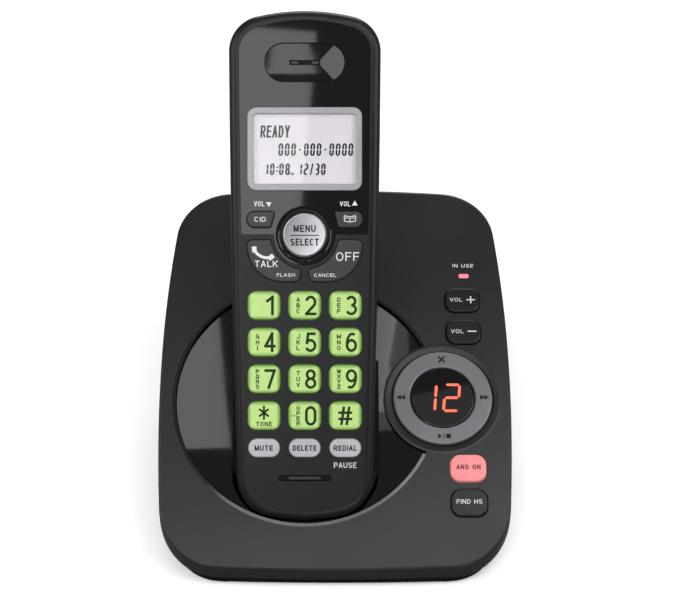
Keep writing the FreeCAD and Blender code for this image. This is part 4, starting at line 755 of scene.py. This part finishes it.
def pointed_bar(bm, x, y, length, stroke, turn):
    place = Matrix.Translation((x, y, INK / 2)) @ Matrix.Rotation(math.radians(turn), 4, "Z")
    made = bmesh.ops.create_cube(bm, size=1.0, matrix=place @ Matrix.Diagonal((length, stroke, INK, 1)))
    edges = {e for v in made["verts"] for e in v.link_edges}
    upright = [e for e in edges if abs(e.verts[0].co.z - e.verts[1].co.z) > INK / 2]
    bmesh.ops.bevel(
        bm, geom=upright, offset=stroke * POINT_SHARE, segments=1, profile=0.5, affect="EDGES", material=-1
    )


def figure(bm, sign, x, y, width, height, stroke, gap):
    w, h = width - stroke, (height - stroke) / 2
    spots = {
        "a": (0, h, w, 0), "g": (0, 0, w, 0), "d": (0, -h, w, 0),
        "b": (w / 2, h / 2, h, 90), "c": (w / 2, -h / 2, h, 90),
        "e": (-w / 2, -h / 2, h, 90), "f": (-w / 2, h / 2, h, 90),
    }
    for key in BARS[sign]:
        across, up, length, turn = spots[key]
        pointed_bar(bm, x + across, y + up, length - gap, stroke, turn)


def figures(text, x, y, width, height, stroke=0.58, gap=0.0, pitch=None):
    """A drawing function for a line of figures that starts at x."""
    pitch = pitch or width * PITCH_SHARE

    def draw(bm):
        at = x + width / 2
        for sign in text:
            if sign == ":":
                for up in (-0.17, 0.17):
                    bar(bm, at - width * 0.28, y + height * up, stroke * 0.9, stroke * 0.9)
                at += pitch * COLON_STEP
            elif sign == "/":
                bar(bm, at - width * 0.1, y, stroke * 0.8, height * 0.98, slant=0.16)
                at += pitch * SLASH_STEP
            else:
                figure(bm, sign, at, y, width * (0.9 if sign == "-" else 1), height, stroke, gap)
                at += pitch
    return draw


def leaning(place, lean):
    shear = Matrix.Identity(4)
    shear[0][1] = lean
    return place @ shear


print("figures that can be shown:", "".join(BARS))

# %% [markdown]
# The display shows dark figures on a pale ground: a plain word, a row of noughts, and the clock line that
# any such telephone shows.

# %% Figures on the display
DISPLAY_UP = 119.0
DISPLAY_FACE = -0.99
DISPLAY_LEAN = 0.06
display_lines = [
    ("READY", -9.8, 5.65, 9.4, 3.9, 0.15), figures("000-000-0000", -8.4, -0.15, 1.5, 4.1),
    figures("10:08", -12.7, -6.45, 1.45, 3.8), ("PM", -3.9, -7.9, 1.7, 0.9, 0.2),
    figures("12/30", -1.9, -6.45, 1.45, 3.8),
]
display_place = leaning(handset_place(0, DISPLAY_UP, DISPLAY_FACE), DISPLAY_LEAN)
legend("display_figures", display_lines, display_place, "handset", lcd_ink)
print("parts of the display's lines:", len(display_lines))

# %% [markdown]
# The earpiece is a shallow bowl that falls to a slot, with a fan between two creases at its right end. The
# bowl starts as the slot's outline, a ring of edges, and the ring is extruded outward step by step: each
# point runs along its own spoke to the rim and takes the bowl's height there. Two spokes are the creases,
# so they stay exact.

# %% Rim of the earpiece
EAR_UP = 146.7
EAR_ROUND, EAR_SHIFT, EAR_RIM = 6.3, 6.7, 0.28
SLOT_HALF = (4.9, 0.8)
FAN_CREASE = Vector((5.2, 5.5))
FAN_HIT = Vector((9.28, 5.44))
FAN_STEPS, CORNER_STEPS, SIDE_STEPS, END_STEPS = 8, 4, 12, 24


def end_point(side, degrees):
    """A point on a round end of the rim: side is 1 at the right and -1 at the left."""
    angle = math.radians(degrees)
    radius = EAR_ROUND - EAR_RIM
    return Vector((side * EAR_SHIFT + radius * math.cos(angle), radius * math.sin(angle)))


def ear_rim():
    """Points of the rim, counterclockwise from the lower crease."""
    half_fan = math.degrees(math.atan2(FAN_HIT.y, FAN_HIT.x - EAR_SHIFT))
    corner = [(90 - half_fan) * k / CORNER_STEPS for k in range(CORNER_STEPS)]
    side = [EAR_SHIFT * (1 - 2 * k / SIDE_STEPS) for k in range(SIDE_STEPS)]
    points = [end_point(1, half_fan * k / FAN_STEPS) for k in range(-FAN_STEPS, FAN_STEPS)]
    points += [end_point(1, half_fan + turn) for turn in corner]
    points += [Vector((x, EAR_ROUND - EAR_RIM)) for x in side]
    points += [end_point(-1, 90 + 180 * k / END_STEPS) for k in range(END_STEPS)]
    points += [Vector((-x, EAR_RIM - EAR_ROUND)) for x in side]
    return points + [end_point(1, turn - 90) for turn in corner]


def slot_point(rim):
    """Where a rim point's spoke starts on the slot's outline."""
    half, tall = SLOT_HALF
    if rim.x > FAN_HIT.x - 0.01:
        return Vector((half, tall * rim.y / FAN_HIT.y))
    if rim.x < -EAR_SHIFT - 0.001:
        return Vector((-half, tall * rim.y / (EAR_ROUND - EAR_RIM)))
    share = (rim.x + EAR_SHIFT) / (FAN_HIT.x + EAR_SHIFT)
    return Vector((half * (2 * share - 1), math.copysign(tall, rim.y)))


print("points round the earpiece:", len(ear_rim()))

# %% [markdown]
# One height function shapes the bowl: it rises from the slot to the two long sides, more steeply over the
# fan, and gently at the left end. The last ring climbs the wall to the faceplate. The sheet gets a thin
# wall so that it is closed, and only the creases and the wall's edges are left sharp.

# %% Earpiece bowl
EAR_DEPTH, SIDE_RISE, END_RISE = 0.57, 0.12, 0.12
END_RUN = 8.1
EAR_RINGS = 8
EAR_SHEET = 0.05
EAR_SHARP = math.radians(18)


def ear_level(x, y):
    """The bowl's height: the steeper of side and fan, and the gentler left end."""
    side = max(0, abs(y) - SLOT_HALF[1]) / FAN_CREASE.y
    fan = max(0, x - SLOT_HALF[0]) / FAN_CREASE.x
    end = max(0, -x - SLOT_HALF[0]) / END_RUN
    return SIDE_RISE * max(side, fan) ** 2 + END_RISE * end**2 - EAR_DEPTH


def on_crease(edge):
    """Whether an edge lies on one of the two lines from the slot's right corners to the rim."""
    slot_x, slot_y = SLOT_HALF
    run = FAN_HIT - Vector(SLOT_HALF)
    spots = [(v.co.x - slot_x, abs(v.co.y) - slot_y) for v in edge.verts]
    return all(x > -0.01 and abs(x * run.y - y * run.x) < 0.02 for x, y in spots)


def earpiece():
    bm = bmesh.new()
    rim = ear_rim()
    starts = [slot_point(point) for point in rim]
    ring = [bm.verts.new((p.x, p.y, ear_level(p.x, p.y))) for p in starts]
    edges = [bm.edges.new((ring[i], ring[(i + 1) % len(ring)])) for i in range(len(ring))]
    for step in range(1, EAR_RINGS + 2):
        made = bmesh.ops.extrude_edge_only(bm, edges=edges)["geom"]
        new = {v for v in made if isinstance(v, bmesh.types.BMVert)}
        edges = [e for e in made if isinstance(e, bmesh.types.BMEdge) and all(v in new for v in e.verts)]
        ring = [next(e.other_vert(v) for e in v.link_edges if e.other_vert(v) in new) for v in ring]
        for v, start, end in zip(ring, starts, rim):
            if step <= EAR_RINGS:
                spot = start.lerp(end, step / EAR_RINGS)
                v.co = (spot.x, spot.y, ear_level(spot.x, spot.y))
            else:
                middle = Vector((max(-EAR_SHIFT, min(EAR_SHIFT, end.x)), 0))
                spot = middle + (end - middle) * EAR_ROUND / (EAR_ROUND - EAR_RIM)
                v.co = (spot.x, spot.y, 0)
    bmesh.ops.remove_doubles(bm, verts=bm.verts, dist=0.001)
    bmesh.ops.translate(bm, verts=bm.verts, vec=(0, 0, EAR_SHEET))
    bmesh.ops.recalc_face_normals(bm, faces=bm.faces)
    if sum(f.normal.z for f in bm.faces) < 0:
        bmesh.ops.reverse_faces(bm, faces=bm.faces)
    bmesh.ops.solidify(bm, geom=bm.faces, thickness=EAR_SHEET)
    for f in bm.faces:
        f.smooth = True
    for e in bm.edges:
        e.smooth = not (on_crease(e) or not e.is_manifold or e.calc_face_angle() > EAR_SHARP)
    place = handset_place(0, EAR_UP, 0) @ IN_MILLIMETRES
    return settle(from_bmesh(bm), "earpiece_bowl", place, "handset", FINISHES["gloss_black"])


print("earpiece faces:", len(earpiece().data.polygons))

# %% [markdown]
# Sound reaches the microphone through a slot near the foot. A near-black tongue of painted shade lines it,
# and a raised bar lies along its middle between the two holes, in a lighter grey that paints the light on
# the slot's floor. The slot in the earpiece has a near-black sheet of painted shade for its opening, between
# two low steps. Each piece starts as a cube whose upright corners are rounded by a bevel.

# %% Slots of the microphone and the earpiece
MICROPHONE_UP = 13.6
TONGUE_EDGE = 0.1


def tongue(name, x, y, width, height, low, high, material):
    bm = bmesh.new()
    bmesh.ops.create_cube(bm, size=1.0, matrix=Matrix.Diagonal((width, height, high - low, 1)))
    bmesh.ops.translate(bm, verts=bm.verts, vec=(0, 0, (low + high) / 2))
    upright = [e for e in bm.edges if abs(e.verts[0].co.z - e.verts[1].co.z) > 0.01]
    bmesh.ops.bevel(
        bm, geom=upright, offset=height * 0.49, segments=8, profile=0.5, affect="EDGES", material=-1
    )
    top = [e for e in bm.edges if all(v.co.z > high - 0.001 for v in e.verts)]
    bmesh.ops.bevel(bm, geom=top, offset=TONGUE_EDGE, segments=2, profile=0.5, affect="EDGES", material=-1)
    settle(from_bmesh(bm), name, handset_place(x, y, 0) @ IN_MILLIMETRES, "handset", material)


# The liner is a near-black sheet of painted shade in the microphone slot.
tongue("microphone_shade_liner", 0, MICROPHONE_UP, 16.9, 1.94, -0.8, -0.60, recess_shade_black)
# A real raised bar, but its lighter grey is painted light: it stands for the lit floor of the slot.
tongue("microphone_bar", 0, MICROPHONE_UP, 10.4, 0.9, -0.7, -0.10, grey_key)
# A near-black sheet of painted shade for the opening of the earpiece slot.
tongue("ear_slot_shade_floor", 0, EAR_UP, 9.7, 1.5, -0.9, -0.75, recess_shade_black)
for side, x in (("left", -3.2), ("right", 3.4)):
    tongue("ear_slot_step_" + side, x, EAR_UP, 2.3, 0.85, -0.8, -0.56, grey_key)
print("slot pieces: 5")

# %% [markdown]
# A low lip frames the dish, and another the ring. The land of the dish's lip slopes outward a few degrees,
# so near the front it mirrors the light as a thin bright arc, and at the back it stays dark. A lip is a
# short profile spun round, and every point is then lowered onto the crowned top, because the lip follows
# the crown, not a plane. The dish's lip stops where the ring's well begins. The ring's lip also slopes in
# towards the ring key, and leaves it room to rock.

# %% Lips round the dish and the ring
RING_ACROSS, RING_ALONG = 35.7, 58.0
DISH_ACROSS, DISH_ALONG = -9.7, 58.2
RING_WELL = 20.6
LIP_STEPS = 160


def lip(name, across, along, profile, material, keep_out=None):
    """A ring of (radius, height) points on the crowned top, less what keep_out (x, y, radius) takes."""
    bm = spun(profile, LIP_STEPS)
    bmesh.ops.remove_doubles(bm, verts=bm.verts, dist=0.0001)
    if keep_out:
        out_x, out_y, reach = keep_out
        middles = [(f, f.calc_center_median()) for f in bm.faces]
        gone = [f for f, spot in middles if math.hypot(spot.x - out_x, spot.y - out_y) < reach]
        bmesh.ops.delete(bm, geom=gone, context="FACES")
        bmesh.ops.holes_fill(bm, edges=[e for e in bm.edges if e.is_boundary], sides=0)
    bmesh.ops.recalc_face_normals(bm, faces=bm.faces)
    made = from_bmesh(bm)
    for v in made.data.vertices:
        v.co = crown_place(across + v.co.x, along + v.co.y, v.co.z).translation
    settle(made, name, Matrix.Identity(4), "base", material)


ring_from_dish = (RING_ACROSS - DISH_ACROSS, RING_ALONG - DISH_ALONG, RING_WELL)
dish_profile = [(43.15, -1.4), (43.15, 0.08), (43.22, 0.12), (44.25, 0.01), (44.25, -0.3)]
lip("dish_lip", DISH_ACROSS, DISH_ALONG, dish_profile, polished_edge, ring_from_dish)
ring_profile = [(17.05, -1.0), (17.05, -0.34), (18.6, 0.03), (18.85, 0.07), (19.6, 0.01), (19.6, -0.3)]
lip("ring_lip", RING_ACROSS, RING_ALONG, ring_profile, FINISHES["satin_black"])
print("profile points of the lips:", len(dish_profile), len(ring_profile))

# %% [markdown]
# The message counter is a two-digit display behind a tinted window. Its segments glow through the tint, so
# they are thin lit bars in the window's face, leaning a little as such digits do. A wider, darker set just
# below gives each bar the red edge that tinted plastic makes.

# %% Lit digits of the counter
FIGURE_PITCH = 7.75
COUNTER_LEAN = 0.09
COUNT = "12"
segment_glow = moulded("lit_segment", (0.6, 0.10, 0.05), 0.4, depth=0.001, glow=(1.0, 0.13, 0.07), power=1.0)
segment_edge = moulded(
    "segment_edge", (0.2, 0.01, 0.01), 0.4, depth=0.001, glow=(0.62, 0.016, 0.012), power=1.0
)
layers = (("glow", 0.06, 1.45, segment_edge), ("segments", 0.1, 0.9, segment_glow))
for name, lift, stroke, material in layers:
    place = leaning(crown_place(RING_ACROSS, RING_ALONG, lift), COUNTER_LEAN)
    drawn = figures(COUNT, -7.6, 0, 5.7, 10.2, stroke=stroke, gap=0.4, pitch=FIGURE_PITCH)
    legend("counter_" + name, [drawn], place, "base", material)
print("counter shows:", COUNT)

# %% [markdown]
# The ring key rocks four ways and has a sign for each: delete, back, forward, and play or stop. Crossed
# bars, a few triangles, a slanted bar and a square are all it needs, so one drawing function makes them
# all.

# %% Signs on the ring key
RING_FACE = 0.5
RING_MIDDLE = 13.7


def ring_signs(bm):
    for turn in (45, -45):
        bar(bm, 0, RING_MIDDLE, 0.6, 3.1, turn=turn)
    for side in (-1, 1):
        for step in (0, 1.35):
            wedge(bm, side * (RING_MIDDLE - 0.75 + step), 0, 1.05, 90 - side * 90)
    wedge(bm, -1.45, -RING_MIDDLE, 0.98, 0)
    bar(bm, 0.05, -RING_MIDDLE, 0.26, 1.9, turn=-22)
    bar(bm, 1.55, -RING_MIDDLE, 1.6, 1.6)


ring_place = crown_place(RING_ACROSS, RING_ALONG, RING_FACE)
legend("ring_signs", [ring_signs], ring_place, "ring_key", dark_ink)
print("ring signs: 4")

# %% [markdown]
# The keys down the base's right side say what they do: volume up and down, answering on, and find the
# handset. They stand on the same crowned top, so one place function serves the keys and the word over the
# lamp.

# %% Legends on the base's keys
BUTTON_ACROSS = 43.4
BUTTON_FACE = 0.9
LAMP_SPOT = (44.2, 108.2)
volume_word = ("VOL", -2.1, 0, 4.3, 1.45, 0.14)


def minus(bm):
    bar(bm, 2.9, 0, 3.0, 0.42)


def plus(bm):
    minus(bm)
    bar(bm, 2.9, 0, 0.42, 2.7)


for name, along, parts, ink, slot in (
    ("volume_up_key", 94.2, [volume_word, plus], white_ink, "key_black"),
    ("volume_down_key", 82.1, [volume_word, minus], white_ink, "key_black"),
    ("answer_on_key", 33.3, [("ANS ON", 0, 0.3, 7.9, 1.65, 0.2)], red_ink, "key_red"),
    ("find_handset_key", 21.7, [("FIND HS", 0, 0.3, 8.3, 1.5, 0.14)], white_ink, "key_black"),
):
    legend(name + "_legend", parts, crown_place(BUTTON_ACROSS, along, BUTTON_FACE), name, ink)
lamp_word = [("IN USE", 0, 0, 7.2, 1.4)]
legend("in_use_legend", lamp_word, crown_place(*LAMP_SPOT), "base", white_ink)

# %% [markdown]
# The photograph was taken from 40 degrees above, straight at the handset's face, from about half a metre.
# The camera stands on the line that leaves the handset's face at right angles, and its Y runs up the
# handset. Its lens makes one pixel of the picture 0.32 mm wide on that face.

# %% Camera
CAMERA_REACH = 527.0
CAMERA_ACROSS = 0.65
SENSOR = 36.0
camera = bpy.data.objects.new("camera", bpy.data.cameras.new("camera"))
bpy.context.scene.collection.objects.link(camera)
camera.data.sensor_width = SENSOR
camera.data.lens = CAMERA_REACH / PIXEL * SENSOR / PICTURE_WIDTH
camera.data.clip_start = 0.01
camera.matrix_world = handset_place(CAMERA_ACROSS - FOOT.x, CAMERA_UP, CAMERA_REACH)
bpy.context.scene.camera = camera
print("lens:", round(camera.data.lens, 1), "mm")

# %% [markdown]
# The floor is plain white paper. A product picture shows it pure white, yet the front of the base stays
# dark, as if the floor gave little light back. So the paper has two shaders: the camera sees the white one,
# and the object is lit by a grey one. The Light Path node tells them apart.

# %% Floor
FLOOR_SIZE = 6.0
FLOOR_BOUNCE = 0.30
bpy.context.scene.view_settings.view_transform = "Standard"
floor_bm = bmesh.new()
bmesh.ops.create_grid(floor_bm, x_segments=1, y_segments=1, size=FLOOR_SIZE)
floor = from_bmesh(floor_bm)
floor.name = "floor"
paper = moulded(
    "floor_paper", (0.90, 0.90, 0.90), 0.9, grain=1.0, depth=0.01, patches=0.02, tone=0.995, shine=0.1,
    glow=(1.0, 1.0, 1.0), power=0.22,
)
floor.data.materials.append(paper)
bare = Flow(paper.node_tree)
seen = bare.node("ShaderNodeLightPath", output="Is Camera Ray")
grey = bare.node("ShaderNodeBsdfDiffuse", sockets={"Color": rgb(FLOOR_BOUNCE, FLOOR_BOUNCE, FLOOR_BOUNCE)})
white = Flow(paper.node_tree, paper.node_tree.nodes["Principled BSDF"].outputs[0])
bare.node("ShaderNodeMixShader", sockets={0: seen, 1: grey, 2: white}).show()
print("floor gives back", FLOOR_BOUNCE, "of its light")

# %% [markdown]
# The light is soft and white. Glossy black plastic shows what it mirrors more than its own colour, so the
# lamps' outlines matter. Each lamp here is given by the brightness of its face, because that is what a
# mirror shows of it: black plastic gives back about a twentieth. The ones overhead are what the dish and
# the window mirror, the one beside the camera is what the faceplate mirrors, and the rest light the edges
# and the back.

# %% Light
SKY = 0.20
CENTRE = Vector((-0.01, -0.015, 0.04))
world = bpy.data.worlds.new("studio")
bpy.context.scene.world = world
world.use_nodes = True
world.node_tree.nodes["Background"].inputs["Color"].default_value = rgb(1, 1, 1)
world.node_tree.nodes["Background"].inputs["Strength"].default_value = SKY


def lamp(name, place, width, height, brightness):
    light = bpy.data.lights.new(name, "AREA")
    light.shape = "RECTANGLE"
    light.size = width
    light.size_y = height
    light.energy = brightness * width * height * math.pi
    made = bpy.data.objects.new(name, light)
    bpy.context.scene.collection.objects.link(made)
    made.matrix_world = place


def facing(name, spot, width, height, brightness):
    """A lamp at spot, in metres, that shines at the middle of the object."""
    turn = (Vector(spot) - CENTRE).to_track_quat("Z", "Y").to_matrix().to_4x4()
    lamp(name, Matrix.Translation(spot) @ turn, width, height, brightness)


def overhead(name, left, right, near, far, brightness, turn=0.0, up=620):
    """A flat lamp overhead, given by its edges in millimetres and turned about its near right corner."""
    corner = Matrix.Translation((right * MM, near * MM, up * MM))
    corner = corner @ Matrix.Rotation(math.radians(turn), 4, "Z")
    middle = Matrix.Translation(((left - right) / 2 * MM, (far - near) / 2 * MM, 0))
    lamp(name, corner @ middle, (right - left) * MM, (far - near) * MM, brightness)


overhead("overhead_left", -120, -72, -97, 100, 2.6, turn=3)
overhead("overhead_right", 20, 50, -75, 110, 1.0)
overhead("overhead_strip", 14.8, 26.6, -50, 110, 1.75, turn=-5.7, up=612)
overhead("overhead_edge", 26.6, 29, -50, 110, 3.0, turn=-5.7, up=612)
overhead("overhead_window", 53.8, 133.8, -61.2, -16.2, 0.42, turn=11.3)
overhead("overhead_far_right", 125, 330, -260, 40, 1.3)
BOX_WIDTH, BOX_HEIGHT = 0.30, 0.34
BOX_CORNER, BOX_TURN = (-5, 271, 700), math.radians(-5)
box_corner = handset_place(*BOX_CORNER) @ Matrix.Rotation(BOX_TURN, 4, "Z")
box_middle = Matrix.Translation((-BOX_WIDTH / 2, -BOX_HEIGHT / 2, 0))
lamp("beside_camera", box_corner @ box_middle, BOX_WIDTH, BOX_HEIGHT, 2.8)
facing("front_top", (0.14, -0.373, 0.973), 1.2, 0.25, 3.8)
facing("front_low", (0.20, -1.2, 0.30), 0.8, 0.12, 7.0)
facing("left_fill", (-1.15, -0.25, 0.75), 0.9, 0.9, 2.9)
facing("right_fill", (1.15, -0.25, 0.75), 0.9, 0.9, 2.7)
facing("back_fill", (0.1, 1.2, 0.8), 0.9, 0.6, 5.0)
print("lamps:", len(bpy.data.lights))
